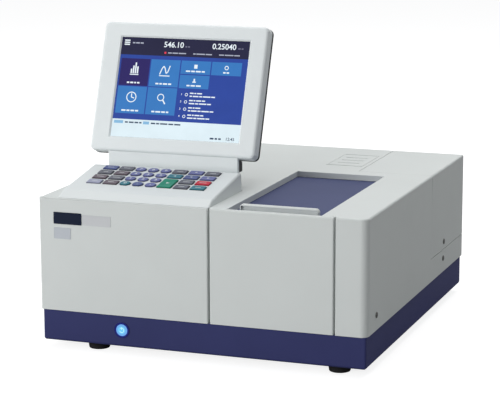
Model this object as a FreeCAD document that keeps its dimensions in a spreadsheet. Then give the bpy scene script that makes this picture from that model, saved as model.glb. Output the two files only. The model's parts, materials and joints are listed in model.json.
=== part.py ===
import FreeCAD, Part
import os
import re
import Sketcher

# Bench spectrophotometer: +X to the right, +Y to the rear, +Z up, origin at the middle of the
# footprint on the bench. Millimetres and degrees throughout.
sizes = {
    # cabinet
    "body_width": 500.0,
    "body_depth": 550.0,
    "skirt_height": 47.0,
    "skirt_inset": 1.75,
    "skirt_wall": 3.0,
    "skirt_corner": 3.0,
    "shell_height": 168.4,
    "shell_wall": 3.0,
    "shell_corner": 11.0,
    "top_edge": 3.0,
    # feet
    "foot_height": 12.0,
    "foot_diameter": 34.5,
    "foot_draft": 2.0,
    "foot_left_inset": 79.0,
    "foot_right_inset": 48.5,
    "foot_end_inset": 30.5,
    # front panels
    "panel_thickness": 7.0,
    "panel_skin": 3.0,
    "panel_rim": 12.0,
    "panel_drop": 0.8,
    "panel_edge": 2.0,
    "bulkhead": 2.5,
    "seam_width": 3.0,
    "left_seam": 14.5,
    "right_seam": 202.0,
    # lamp cover
    "lamp_cover_left": 131.0,
    "lamp_cover_front": 75.0,
    "lamp_cover_foot": 95.0,
    "cover_gap": 0.8,
    # sliding lid and its recess
    "recess_centre": 111.2,
    "recess_width": 140.4,
    "recess_rear": 45.0,
    "lid_depth": 8.9,
    "lid_thickness": 3.0,
    "lid_hidden": 15.0,
    "lid_corner": 2.0,
    "slide_gap": 0.3,
    "slide_lip": 3.0,
    "grip_width": 118.0,
    "grip_height": 12.9,
    "grip_thickness": 7.0,
    "grip_back": 19.5,
    "grip_rim": 2.5,
    "grip_recess": 3.0,
    "grip_corner": 5.0,
    "grip_edge": 1.2,
    # keypad console
    "console_left": 222.0,
    "console_right": 14.0,
    "console_setback": 4.0,
    "crease_back": 17.0,
    "crease_height": 8.8,
    "keypad_slope": 9.5,
    "keypad_length": 115.6,
    "console_wall": 2.5,
    "console_edge": 3.0,
    "crease_round": 12.0,
    "rear_slant": 5.0,
    "ledge_height": 3.0,
    "ledge_depth": 48.0,
    # keys
    "key_row_front": 39.5,
    "key_row_pitch": 20.4,
    "key_column_centre": -118.8,
    "oval_pitch": 20.1,
    "oval_to_wide": 22.7,
    "wide_pitch": 26.0,
    "key_length": 14.5,
    "wide_key": 22.8,
    "oval_key": 16.4,
    "wide_key_corner": 1.2,
    "oval_key_corner": 6.6,
    "key_rise": 2.0,
    "key_chamfer": 0.6,
    "key_gap": 0.4,
    "key_flange": 0.7,
    "key_flange_height": 1.2,
    "key_travel": 1.2,
    "keypad_board": 1.6,
    "keypad_margin": 8.0,
    "keypad_end": 3.0,
    # display, its neck and hinge
    "display_tilt": 20.0,
    "display_width": 267.5,
    "display_offset": -2.2,
    "display_height": 201.7,
    "display_depth": 23.0,
    "display_wall": 2.5,
    "display_corner": 8.0,
    "display_edge": 5.0,
    "screen_width": 208.8,
    "screen_offset": 1.5,
    "screen_height": 155.6,
    "screen_bottom": 22.7,
    "screen_land": 0.3,
    "lcd_thickness": 6.5,
    "lcd_margin": 5.0,
    "back_cover_depth": 8.0,
    "back_cover_inset": 10.0,
    "back_cover_bevel": 5.0,
    "vent_width": 60.0,
    "vent_height": 3.0,
    "vent_pitch": 7.0,
    "vent_count": 9,
    "neck_centre": -105.0,
    "neck_width": 211.0,
    "neck_skin": 5.5,
    "neck_foot": 1.0,
    "hinge_back": 39.0,
    "hinge_height": 12.1,
    "hinge_barrel": 14.0,
    "hinge_pin": 8.0,
    "hinge_fit": 0.05,
    "display_forward": 15.7,
    "display_rise": 33.2,
    "bracket_front": 8.5,
    "bracket_rear": 12.5,
    "bracket_inset": 2.5,
    "bracket_wall": 3.0,
    "tongue_depth": 12.0,
    "tongue_thickness": 3.0,
    "tongue_height": 60.0,
    "tongue_gap": 0.5,
    "ear_gap": 1.5,
    "ear_thickness": 7.0,
    # power button
    "button_place": -122.0,
    "button_height": 25.2,
    "button_diameter": 19.6,
    "button_gap": 0.3,
    "button_ring": 23.6,
    "ring_proud": 1.0,
    "button_proud": 0.4,
    "button_flange": 24.0,
    "button_flange_height": 1.5,
    "button_stem": 8.0,
    "button_stem_length": 7.0,
    # screws
    "screw_head": 8.0,
    "screw_head_height": 1.2,
    "screw_shank": 4.0,
    "screw_length": 8.0,
    "screw_fit": 0.05,
    "side_screw_front": 46.0,
    "side_screw_rear": 126.0,
    "side_screw_height": 22.5,
    "lamp_screw_back": 77.0,
    "lamp_screw_height": 13.0,
    # rear panel and what it carries
    "rear_recess": 4.0,
    "rear_thickness": 2.0,
    "rear_gap": 0.3,
    "fan_size": 80.0,
    "fan_depth": 25.0,
    "fan_bore": 75.0,
    "fan_right": 62.0,
    "fan_height": 150.0,
    "fan_corner": 4.0,
    "fan_hub": 30.0,
    "fan_web": 3.0,
    "fan_web_width": 6.0,
    "fan_shaft": 4.0,
    "fan_fit": 0.05,
    "fan_tip_gap": 1.5,
    "fan_blade": 1.6,
    "fan_blade_sweep": 14.0,
    "fan_blades": 5,
    "grille_slot": 4.0,
    "grille_pitch": 8.0,
    "grille_slots": 8,
    "grille_width": 62.0,
    "inlet_left": 62.0,
    "inlet_height": 100.0,
    "inlet_width": 28.0,
    "inlet_tall": 21.0,
    "inlet_depth": 24.0,
    "inlet_wall": 2.0,
    "inlet_flange": 3.0,
    "inlet_flange_thickness": 2.0,
    "inlet_socket": 17.0,
    "inlet_pin_width": 2.0,
    "inlet_pin_tall": 4.0,
    "inlet_pin_length": 14.0,
    "inlet_pin_pitch": 7.0,
    "port_left": 130.0,
    "port_pitch": 42.0,
    "port_width": 31.0,
    "port_tall": 12.5,
    "port_depth": 12.0,
    "port_wall": 1.5,
    # optical bench and the sample compartment
    "bench_height": 30.0,
    "bench_thickness": 8.0,
    "bench_leg": 22.0,
    "bench_left": -62.0,
    "bench_side_gap": 9.0,
    "bench_front_gap": 0.5,
    "bench_rear_gap": 6.0,
    "tub_wall": 5.0,
    "tub_height": 85.0,
    "tub_neck_width": 98.0,
    "tub_gap": 10.0,
    "tub_step": -40.0,
    "window_height": 30.0,
    "window_width": 14.0,
    "chamber_window": 16.0,
    "sample_beam": -196.0,
    "reference_beam": -120.0,
    "chamber_wall": 2.5,
    "chamber_rear": -56.0,
    "chamber_gap": 0.4,
    "holder_plate": 4.0,
    "holder_width": 70.0,
    "holder_length": 110.0,
    "holder_tower": 24.0,
    "holder_tower_height": 48.0,
    "cuvette_well": 12.6,
    "cuvette_depth": 40.0,
    "cell_window_width": 6.0,
    "cell_window_height": 16.0,
    "grating_width": 36.0,
    "grating_height": 34.0,
    "grating_thickness": 8.0,
    "grating_x": 20.0,
    "grating_y": 130.0,
    "spindle_diameter": 8.0,
    "spindle_length": 8.0,
    "spindle_fit": 0.05,
    "spindle_boss": 18.0,
    "turntable_width": 30.0,
    "turntable_thickness": 3.0,
    "lamp_house_width": 100.0,
    "lamp_house_depth": 118.0,
    "lamp_house_height": 120.0,
    "lamp_house_wall": 2.0,
    "lamp_port": 30.0,
    "source_back": 70.0,
    "mirror_inset": 72.0,
    "deuterium_inset": 28.0,
    "tungsten_back": 22.0,
    "deuterium_diameter": 30.0,
    "deuterium_height": 62.0,
    "tungsten_diameter": 11.0,
    "tungsten_height": 34.0,
    "lamp_socket": 14.0,
    "mirror_size": 26.0,
    "mirror_thickness": 4.0,
    "detector_gap": 8.0,
    "detector_length": 120.0,
    "detector_width": 34.0,
    "detector_height": 90.0,
    "detector_window": 14.0,
    "detector_window_depth": 20.0,
    # electronics on the tray
    "board_thickness": 1.6,
    "board_side": 12.0,
    "board_width": 160.0,
    "board_front": -190.0,
    "board_length": 260.0,
    "board_standoff": 8.0,
    "standoff_width": 8.0,
    "standoff_inset": 12.0,
    "supply_width": 120.0,
    "supply_length": 110.0,
    "supply_height": 62.0,
    "supply_front": 110.0,
}

# Formulas that several pieces share.
seam_z = "(foot_height + skirt_height)"
top_z = "(foot_height + skirt_height + shell_height)"
panel_top_z = "(foot_height + skirt_height + shell_height - panel_drop)"
right_x = "(body_width / 2)"
left_x = "(-body_width / 2)"
front_y = "(-body_depth / 2)"
rear_y = "(body_depth / 2)"
panel_back_y = "(-body_depth / 2 + panel_thickness)"
bulkhead_back_y = "(-body_depth / 2 + panel_thickness + bulkhead)"
rear_panel_y = "(body_depth / 2 - rear_recess - rear_thickness)"
recess_left = "(recess_centre - recess_width / 2)"
recess_right = "(recess_centre + recess_width / 2)"
lid_top_z = "(foot_height + skirt_height + shell_height - lid_depth)"
lid_bottom_z = "(foot_height + skirt_height + shell_height - lid_depth - lid_thickness)"
console_front_y = "(-body_depth / 2 + console_setback)"
crease_y = "(-body_depth / 2 + console_setback + crease_back)"
console_rear_y = "(%s + keypad_length * cos(keypad_slope))" % crease_y
console_rear_z = "(%s + crease_height + keypad_length * sin(keypad_slope))" % top_z
ledge_z = "(%s + ledge_height)" % top_z
hinge_y = "(%s + hinge_back)" % console_rear_y
hinge_z = "(%s + hinge_height)" % top_z
display_y = "(%s - display_forward)" % hinge_y
display_z = "(%s + display_rise)" % hinge_z
tray_z = "(foot_height + skirt_wall)"
bench_z = "(foot_height + skirt_wall + bench_height + bench_thickness)"
beam_z = "(%s + window_height)" % bench_z
fan_x = "(body_width / 2 - fan_right)"
bench_right = "(body_width / 2 - shell_wall - bench_side_gap)"
bench_front = "(%s + bench_front_gap)" % bulkhead_back_y
bench_rear = "(%s - fan_depth - bench_rear_gap)" % rear_panel_y
lamp_house_left = "(%s - lamp_house_width)" % bench_right
lamp_house_front = "(%s - lamp_house_depth)" % bench_rear
source_y = "(%s - source_back)" % bench_rear
mirror_x = "(%s - mirror_inset)" % bench_right
side_screws = ("(%s + side_screw_front)" % front_y, "(%s - side_screw_rear)" % rear_y)
board_left = "(%s + board_side)" % left_x

doc = FreeCAD.newDocument("Spectrophotometer")
sheet = doc.addObject("Spreadsheet::Sheet", "Dimensions")
for row, (word, number) in enumerate(sizes.items(), start=1):
    sheet.set("A%d" % row, word)
    sheet.set("B%d" % row, str(number))
    sheet.setAlias("B%d" % row, word)
doc.recompute()
nodes = []


def bound(formula):
    """A formula with each dimension's word pointing at its cell."""
    return re.sub(r"[a-z_]+", lambda word: "Dimensions." + word.group()
                  if word.group() in sizes else word.group(), formula)


def new_body(label):
    """A body that is one node."""
    body = doc.addObject("PartDesign::Body", label)
    body.Label = label
    nodes.append(body)
    return body


def helper_body(label):
    """A body that is only one solid of a group."""
    body = doc.addObject("PartDesign::Body", label)
    body.Label = label
    return body


def place(item, x, y, z, angle="0"):
    """Sets an item's origin, and turns it about the X direction."""
    item.Placement = FreeCAD.Placement(FreeCAD.Vector(), FreeCAD.Rotation(FreeCAD.Vector(1, 0, 0), 1))
    item.setExpression("Placement.Rotation.Angle", bound(angle))
    item.setExpression("Placement.Base.x", bound(x))
    item.setExpression("Placement.Base.y", bound(y))
    item.setExpression("Placement.Base.z", bound(z))


def origin_item(body, role):
    return [item for item in body.Origin.OriginFeatures if item.Role == role][0]


def new_sketch(body, plane, level):
    """A sketch on one of the body's own planes, moved along the third axis to the level."""
    sketch = body.newObject("Sketcher::SketchObject", body.Name + "_sketch")
    sketch.AttachmentSupport = [(origin_item(body, plane + "_Plane"), "")]
    sketch.MapMode = "FlatFace"
    sign = "-" if plane == "XZ" else ""
    sketch.setExpression("AttachmentOffset.Base.z", bound("%s(%s)" % (sign, level)))
    return sketch


def add_outline(sketch, corners):
    """A closed outline whose corners are pairs of formulas."""
    count = len(corners)
    first = sketch.GeometryCount
    spots = [FreeCAD.Vector(corner, (corner * 7) % count, 0) for corner in range(count)]
    lines = [Part.LineSegment(spots[corner], spots[(corner + 1) % count]) for corner in range(count)]
    sketch.addGeometry(lines, False)
    links = []
    held = []
    for corner in range(count):
        after = (corner + 1) % count
        before = (corner - 1) % count
        links.append(Sketcher.Constraint("Coincident", first + corner, 2, first + after, 1))
        for axis, level, distance in ((0, "Vertical", "DistanceX"), (1, "Horizontal", "DistanceY")):
            if corners[corner][axis] == corners[before][axis]:
                links.append(Sketcher.Constraint(level, first + before))
            else:
                held.append((Sketcher.Constraint(distance, -1, 1, first + corner, 1, 1.0),
                             corners[corner][axis]))
    sketch.addConstraint(links)
    bind(sketch, held)


def bind(sketch, held):
    """Adds constraints, each with the formula that sets its size."""
    start = sketch.ConstraintCount
    sketch.addConstraint([constraint for constraint, formula in held])
    for index, (constraint, formula) in enumerate(held, start=start):
        sketch.setExpression("Constraints[%d]" % index, bound(formula))


def add_circle(sketch, across, up, diameter):
    """A circle with its centre and diameter given by formulas."""
    index = sketch.addGeometry(Part.Circle(FreeCAD.Vector(1, 1, 0), FreeCAD.Vector(0, 0, 1), 1), False)
    bind(sketch, [(Sketcher.Constraint("DistanceX", -1, 1, index, 3, 1.0), across),
                  (Sketcher.Constraint("DistanceY", -1, 1, index, 3, 1.0), up),
                  (Sketcher.Constraint("Diameter", index, 2.0), diameter)])


def rectangle(low_x, high_x, low_y, high_y):
    return [(low_x, low_y), (high_x, low_y), (high_x, high_y), (low_x, high_y)]


def feature_from(body, kind, sketch, low, high, backwards):
    feature = body.newObject("PartDesign::" + kind, body.Name + "_" + kind.lower())
    feature.Profile = sketch
    feature.Reversed = backwards
    feature.setExpression("Length", bound("(%s) - (%s)" % (high, low)))
    doc.recompute()
    return feature


def pad(body, plane, low, high, *outlines, circles=()):
    """Material between two levels along the axis that the plane lacks."""
    sketch = new_sketch(body, plane, low)
    for outline in outlines:
        add_outline(sketch, outline)
    for circle in circles:
        add_circle(sketch, *circle)
    return feature_from(body, "Pad", sketch, low, high, plane == "XZ")


def pocket(body, plane, low, high, *outlines, circles=()):
    """A cut between two levels; the solid has to lose volume by it."""
    full = body.Shape.Volume
    sketch = new_sketch(body, plane, low)
    for outline in outlines:
        add_outline(sketch, outline)
    for circle in circles:
        add_circle(sketch, *circle)
    feature = feature_from(body, "Pocket", sketch, low, high, plane != "XZ")
    if body.Shape.Volume > full - 1e-3:
        raise ValueError("a cut in %s removed nothing" % body.Label)
    return feature


def dress(body, kind, size, chosen):
    """Rounds or chamfers the edges that a test on their box and the whole box chooses."""
    base = body.Tip
    whole = base.Shape.BoundBox
    picked = []
    for index, edge in enumerate(base.Shape.Edges, start=1):
        if chosen(edge.BoundBox, whole):
            picked.append("Edge%d" % index)
    feature = body.newObject("PartDesign::" + kind, body.Name + "_" + kind.lower())
    feature.Base = (base, picked)
    feature.setExpression("Radius" if kind == "Fillet" else "Size", bound(size))
    doc.recompute()
    return feature


def near(first, second):
    return abs(first - second) < 0.01


def along_x(edge):
    return near(edge.YLength, 0) and near(edge.ZLength, 0)


def along_y(edge):
    return near(edge.XLength, 0) and near(edge.ZLength, 0)


def along_z(edge):
    return near(edge.XLength, 0) and near(edge.YLength, 0)


def box(label, low_x, high_x, low_y, high_y, low_z, high_z):
    """A plain block between six formulas."""
    block = doc.addObject("Part::Box", label)
    for name, low, high, axis in (("Length", low_x, high_x, "x"), ("Width", low_y, high_y, "y"),
                                  ("Height", low_z, high_z, "z")):
        block.setExpression(name, bound("(%s) - (%s)" % (high, low)))
        block.setExpression("Placement.Base." + axis, bound(low))
    return block


def cylinder(label, diameter, length, x, y, z, axis="Z"):
    """A round bar that starts at a point and runs along an axis; -X runs the other way."""
    turns = {"Z": (0, 0, 1, 0), "X": (0, 1, 0, 90), "-X": (0, 1, 0, -90)}
    turn = turns[axis]
    bar = doc.addObject("Part::Cylinder", label)
    bar.Placement = FreeCAD.Placement(FreeCAD.Vector(), FreeCAD.Rotation(FreeCAD.Vector(*turn[:3]), turn[3]))
    bar.setExpression("Radius", bound("(%s) / 2" % diameter))
    bar.setExpression("Height", bound(length))
    bar.setExpression("Placement.Base.x", bound(x))
    bar.setExpression("Placement.Base.y", bound(y))
    bar.setExpression("Placement.Base.z", bound(z))
    return bar


def fuse(label, pieces):
    joined = doc.addObject("Part::MultiFuse", label)
    joined.Shapes = pieces
    return joined


def node(item, label):
    item.Label = label
    nodes.append(item)
    return item


def group(label, pieces):
    """Separate solids that share one node."""
    bundle = doc.addObject("Part::Compound", label)
    bundle.Links = pieces
    return node(bundle, label)


def build_base():
    """Blue tray that carries the inner parts, with the collar of the power button."""
    body = new_body("base_skirt")
    side = "(body_width / 2 - skirt_inset)"
    end = "(body_depth / 2 - skirt_inset)"
    pad(body, "XY", "foot_height", seam_z, rectangle("-" + side, side, "-" + end, end))
    dress(body, "Fillet", "skirt_corner", lambda edge, whole: along_z(edge))
    inner_side = "(body_width / 2 - skirt_inset - skirt_wall)"
    inner_end = "(body_depth / 2 - skirt_inset - skirt_wall)"
    pocket(body, "XY", tray_z, seam_z, rectangle("-" + inner_side, inner_side, "-" + inner_end, inner_end))
    centre = ("button_place", "foot_height + button_height")
    face = "(-body_depth / 2 + skirt_inset)"
    pad(body, "XZ", face + " - ring_proud", face, circles=[centre + ("button_ring",)])
    pocket(body, "XZ", face + " - ring_proud", face + " + skirt_wall",
           circles=[centre + ("button_diameter + 2 * button_gap",)])


def build_feet():
    feet = []
    for side in (left_x + " + foot_left_inset", right_x + " - foot_right_inset"):
        for end in (front_y + " + foot_end_inset", rear_y + " - foot_end_inset"):
            foot = doc.addObject("Part::Cone", "foot")
            foot.setExpression("Radius1", bound("foot_diameter / 2 - foot_draft"))
            foot.setExpression("Radius2", bound("foot_diameter / 2"))
            foot.setExpression("Height", bound("foot_height"))
            foot.setExpression("Placement.Base.x", bound(side))
            foot.setExpression("Placement.Base.y", bound(end))
            feet.append(foot)
    group("rubber_feet", feet)


def build_main_cover():
    """Top, both sides, the right front strip, the bulkhead behind the panels and the lid's slideway."""
    body = new_body("main_cover")
    pad(body, "XY", seam_z, top_z, rectangle(left_x, right_x, front_y, rear_y))
    dress(body, "Fillet", "shell_corner",
          lambda edge, whole: along_z(edge) and near(edge.XMin, whole.XMax) and near(edge.YMin, whole.YMin))
    dress(body, "Fillet", "top_edge",
          lambda edge, whole: near(edge.ZMin, whole.ZMax) and not near(edge.YMin, whole.YMax))
    inside = rectangle(left_x + " + shell_wall", right_x + " - shell_wall", bulkhead_back_y, rear_y)
    pocket(body, "XY", seam_z, top_z + " - shell_wall", inside)
    panels = rectangle(left_x, "right_seam + seam_width / 2", front_y, panel_back_y)
    pocket(body, "XY", seam_z, top_z, panels)
    lamp_corner = rectangle("lamp_cover_left", right_x, "lamp_cover_front", rear_y)
    pocket(body, "XY", "lamp_cover_foot", top_z, lamp_corner)
    pocket(body, "XY", lid_bottom_z, top_z, rectangle(recess_left, recess_right, panel_back_y, "recess_rear"))
    ceiling = top_z + " - shell_wall"
    groove_top = lid_top_z + " + slide_gap"
    groove_foot = lid_bottom_z + " - slide_gap"
    lip_foot = groove_foot + " - slide_lip"
    for edge, away in ((recess_left, " - "), (recess_right, " + ")):
        towards = " + " if away == " - " else " - "
        rail = [(edge + away + "2 * slide_lip", ceiling), (edge, ceiling), (edge, groove_top),
                (edge + away + "slide_lip", groove_top), (edge + away + "slide_lip", groove_foot),
                (edge + towards + "slide_lip", groove_foot), (edge + towards + "slide_lip", lip_foot),
                (edge + away + "2 * slide_lip", lip_foot)]
        pad(body, "XZ", bulkhead_back_y, rear_panel_y + " - rear_gap", rail)
    end_wall = rectangle(recess_left, recess_right, "recess_rear", "recess_rear + shell_wall")
    pad(body, "XY", groove_top, ceiling, end_wall)
    screws = [(y, seam_z + " + side_screw_height", "screw_shank + 2 * screw_fit") for y in side_screws]
    pocket(body, "YZ", right_x + " - shell_wall", right_x, circles=screws)


def front_panel(label, low_x, high_x, corner):
    """A moulded front panel: a skin with a rim behind it, solid along the top."""
    body = new_body(label)
    pad(body, "XZ", front_y, panel_back_y, rectangle(low_x, high_x, seam_z, panel_top_z))
    dress(body, "Fillet", "panel_edge", corner)
    rim = "(panel_thickness - panel_skin)"
    pocket(body, "XZ", front_y + " + panel_skin", panel_back_y,
           rectangle(low_x + " + " + rim, high_x + " - " + rim, seam_z + " + " + rim,
                     panel_top_z + " - panel_rim"))


def build_front_panels():
    front_panel("left_front_panel", left_x, "left_seam - seam_width / 2",
                lambda edge, whole: near(edge.YMax, whole.YMin) and not near(edge.ZMax, whole.ZMin))
    front_panel("sample_front_panel", "left_seam + seam_width / 2", "right_seam - seam_width / 2",
                lambda edge, whole: near(edge.YMax, whole.YMin) and not near(edge.ZMax, whole.ZMin))


def build_lamp_cover():
    """Removable corner over the lamps: a top and a right side in one folded shell."""
    body = new_body("lamp_cover")
    left = "(lamp_cover_left + cover_gap)"
    front = "(lamp_cover_front + cover_gap)"
    foot = "(lamp_cover_foot + cover_gap)"
    pad(body, "XY", foot, top_z, rectangle(left, right_x, front, rear_y))
    dress(body, "Fillet", "top_edge", lambda edge, whole: along_y(edge) and near(edge.XMin, whole.XMax)
          and near(edge.ZMin, whole.ZMax))
    pocket(body, "XY", foot, top_z + " - shell_wall", rectangle(left, right_x + " - shell_wall", front, rear_y))
    hole = ("lamp_cover_front + lamp_screw_back", "lamp_cover_foot + lamp_screw_height",
            "screw_shank + 2 * screw_fit")
    pocket(body, "YZ", right_x + " - shell_wall", right_x, circles=[hole])


def build_rear_panel():
    """Sheet panel set into the rear of the cabinet, with the fan grille and the connector cut-outs."""
    body = new_body("rear_panel")
    side = "(body_width / 2 - shell_wall - rear_gap)"
    high = rear_panel_y + " + rear_thickness"
    pad(body, "XZ", rear_panel_y, high,
        rectangle("-" + side, side, seam_z, top_z + " - shell_wall - rear_gap"))
    slot_low = "fan_height - (grille_slots - 1) * grille_pitch / 2 - grille_slot / 2"
    slot = rectangle(fan_x + " - grille_width / 2", fan_x + " + grille_width / 2", slot_low,
                     slot_low + " + grille_slot")
    feature = pocket(body, "XZ", rear_panel_y, high, slot)
    pattern = body.newObject("PartDesign::LinearPattern", "grille_pattern")
    pattern.Originals = [feature]
    pattern.Direction = (origin_item(body, "Z_Axis"), [""])
    pattern.setExpression("Length", bound("(grille_slots - 1) * grille_pitch"))
    pattern.setExpression("Occurrences", bound("grille_slots"))
    body.Tip = pattern
    doc.recompute()
    centre_x = left_x + " + inlet_left"
    inlet = rectangle(centre_x + " - inlet_width / 2 - rear_gap", centre_x + " + inlet_width / 2 + rear_gap",
                      "inlet_height - inlet_tall / 2 - rear_gap", "inlet_height + inlet_tall / 2 + rear_gap")
    cut_outs = [inlet]
    for place_number in range(2):
        middle = left_x + " + port_left + %d * port_pitch" % place_number
        half = " port_width / 2"
        cut_outs.append(rectangle(middle + " - rear_gap -" + half, middle + " + rear_gap +" + half,
                                  "inlet_height - port_tall / 2 - rear_gap",
                                  "inlet_height + port_tall / 2 + rear_gap"))
    pocket(body, "XZ", rear_panel_y, high, *cut_outs)


def build_rear_connectors():
    """Mains inlet with its three pins, and two interface ports."""
    inlet = helper_body("inlet")
    middle = left_x + " + inlet_left"
    outside = rear_panel_y + " + rear_thickness"
    mouth = outside + " + inlet_flange_thickness"
    half_width = " inlet_width / 2"
    half_tall = " inlet_tall / 2"
    pad(inlet, "XZ", outside + " - inlet_depth", outside,
        rectangle(middle + " -" + half_width, middle + " +" + half_width, "inlet_height -" + half_tall,
                  "inlet_height +" + half_tall))
    pad(inlet, "XZ", outside, mouth,
        rectangle(middle + " - inlet_flange -" + half_width, middle + " + inlet_flange +" + half_width,
                  "inlet_height - inlet_flange -" + half_tall, "inlet_height + inlet_flange +" + half_tall))
    pocket(inlet, "XZ", mouth + " - inlet_socket", mouth,
           rectangle(middle + " + inlet_wall -" + half_width, middle + " - inlet_wall +" + half_width,
                     "inlet_height + inlet_wall -" + half_tall, "inlet_height - inlet_wall +" + half_tall))
    pins = []
    for place_number, rise in ((-1, 0), (0, 1), (1, 0)):
        across = middle + " + %d * inlet_pin_pitch" % place_number
        up = "inlet_height + %d * inlet_pin_pitch / 4" % rise
        pins.append(rectangle(across + " - inlet_pin_width / 2", across + " + inlet_pin_width / 2",
                              up + " - inlet_pin_tall / 2", up + " + inlet_pin_tall / 2"))
    floor = mouth + " - inlet_socket"
    pad(inlet, "XZ", floor, floor + " + inlet_pin_length", *pins)
    solids = [inlet]
    for place_number in range(2):
        port = helper_body("port")
        middle = left_x + " + port_left + %d * port_pitch" % place_number
        shell = rectangle(middle + " - port_width / 2", middle + " + port_width / 2",
                          "inlet_height - port_tall / 2", "inlet_height + port_tall / 2")
        pad(port, "XZ", outside + " - port_depth", outside, shell)
        collar = rectangle(middle + " - port_width / 2 - port_wall", middle + " + port_width / 2 + port_wall",
                           "inlet_height - port_tall / 2 - port_wall",
                           "inlet_height + port_tall / 2 + port_wall")
        pad(port, "XZ", outside, outside + " + port_wall", collar)
        pocket(port, "XZ", outside + " - port_depth / 2", outside + " + port_wall",
               rectangle(middle + " - port_width / 2 + port_wall", middle + " + port_width / 2 - port_wall",
                         "inlet_height - port_tall / 2 + port_wall",
                         "inlet_height + port_tall / 2 - port_wall"))
        solids.append(port)
    group("rear_connectors", solids)


def build_fan():
    """Fan frame with its web and shaft, and the bladed rotor that turns on the shaft."""
    frame = new_body("fan_frame")
    half = "(fan_size / 2)"
    pad(frame, "XY", "0", "fan_depth", rectangle("-" + half, half, "-" + half, half))
    dress(frame, "Chamfer", "fan_corner", lambda edge, whole: along_z(edge))
    pocket(frame, "XY", "0", "fan_depth", circles=[("0", "0", "fan_bore")])
    web = "(fan_web_width / 2)"
    reach = "(fan_bore / 2 + fan_web / 2)"
    pad(frame, "XY", "0", "fan_web", rectangle("-" + reach, reach, "-" + web, web))
    pad(frame, "XY", "0", "fan_web", rectangle("-" + web, web, "-" + reach, reach))
    pad(frame, "XY", "0", "fan_web", circles=[("0", "0", "fan_hub")])
    pad(frame, "XY", "fan_web", "fan_depth - fan_web", circles=[("0", "0", "fan_shaft")])
    rotor = new_body("fan_rotor")
    low = "(fan_web + slide_gap)"
    high = "(fan_depth - slide_gap)"
    pad(rotor, "XY", low, high, circles=[("0", "0", "fan_hub")])
    pocket(rotor, "XY", low, "fan_depth - fan_web + slide_gap",
           circles=[("0", "0", "fan_shaft + 2 * fan_fit")])
    lean = "(fan_blade_sweep / 2)"
    blade = [("-%s" % lean, low + " + 1"), ("-%s + fan_blade" % lean, low + " + 1"),
             (lean, high + " - 1"), ("%s - fan_blade" % lean, high + " - 1")]
    first = pad(rotor, "YZ", "fan_hub / 2 - fan_blade", "fan_bore / 2 - fan_tip_gap - fan_blade", blade)
    pattern = rotor.newObject("PartDesign::PolarPattern", "blade_pattern")
    pattern.Originals = [first]
    pattern.Axis = (origin_item(rotor, "Z_Axis"), [""])
    pattern.Angle = 360
    pattern.setExpression("Occurrences", bound("fan_blades"))
    rotor.Tip = pattern
    doc.recompute()
    for item in (frame, rotor):
        place(item, fan_x, rear_panel_y, "fan_height", "90")


def keypad_frame(item):
    """Own frame of the keypad: origin on the crease line, +Y up the slope, +Z out of the panel."""
    place(item, "0", crease_y, top_z + " + crease_height", "keypad_slope")


def key_layout():
    """Each key's name, centre, width and length, and the cuts that round its corners, as formulas."""
    round_corner = ["oval_key_corner * (2 - sqrt(2))", "oval_key_corner * (tan(22.5) - tan(11.25))"]
    middle = "key_column_centre"
    outer = "(oval_pitch + oval_to_wide)"
    columns = [middle + " - %s - wide_pitch" % outer, middle + " - " + outer, middle + " - oval_pitch", middle,
               middle + " + oval_pitch", middle + " + " + outer, middle + " + %s + wide_pitch" % outer,
               middle + " + %s + 2 * wide_pitch" % outer]
    keys = []
    for row in range(1, 5):
        for column, across in enumerate(columns, start=1):
            up = "key_row_front + %d * key_row_pitch" % (4 - row)
            length = "key_length"
            oval = 3 <= column <= 5
            if column == 6 and row == 4:
                continue
            if column == 6 and row == 3:
                up = "key_row_front + key_row_pitch / 2"
                length = "(key_length + key_row_pitch)"
            keys.append({"name": "key_row%d_column%d" % (row, column), "across": across, "up": up,
                         "width": "oval_key" if oval else "wide_key", "length": length,
                         "corner": round_corner if oval else ["wide_key_corner"]})
    return keys


def key_rectangle(key, grow):
    half_width = "(%s / 2 + %s)" % (key["width"], grow)
    half_length = "(%s / 2 + %s)" % (key["length"], grow)
    return rectangle("%s - %s" % (key["across"], half_width), "%s + %s" % (key["across"], half_width),
                     "%s - %s" % (key["up"], half_length), "%s + %s" % (key["up"], half_length))


def build_keys():
    """Key caps: each has a cap through its aperture and a flange that holds it under the panel."""
    flange_top = "(-console_wall - slide_gap)"
    flange_foot = "(-console_wall - slide_gap - key_flange_height)"
    for key in key_layout():
        body = new_body(key["name"])
        pad(body, "XY", flange_top, "key_rise", key_rectangle(key, "0"))
        for size in key["corner"]:
            dress(body, "Chamfer", size, lambda edge, whole: along_z(edge))
        dress(body, "Chamfer", "key_chamfer", lambda edge, whole: near(edge.ZMin, whole.ZMax))
        pad(body, "XY", flange_foot, flange_top, key_rectangle(key, "key_gap + key_flange"))
        keypad_frame(body)


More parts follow.
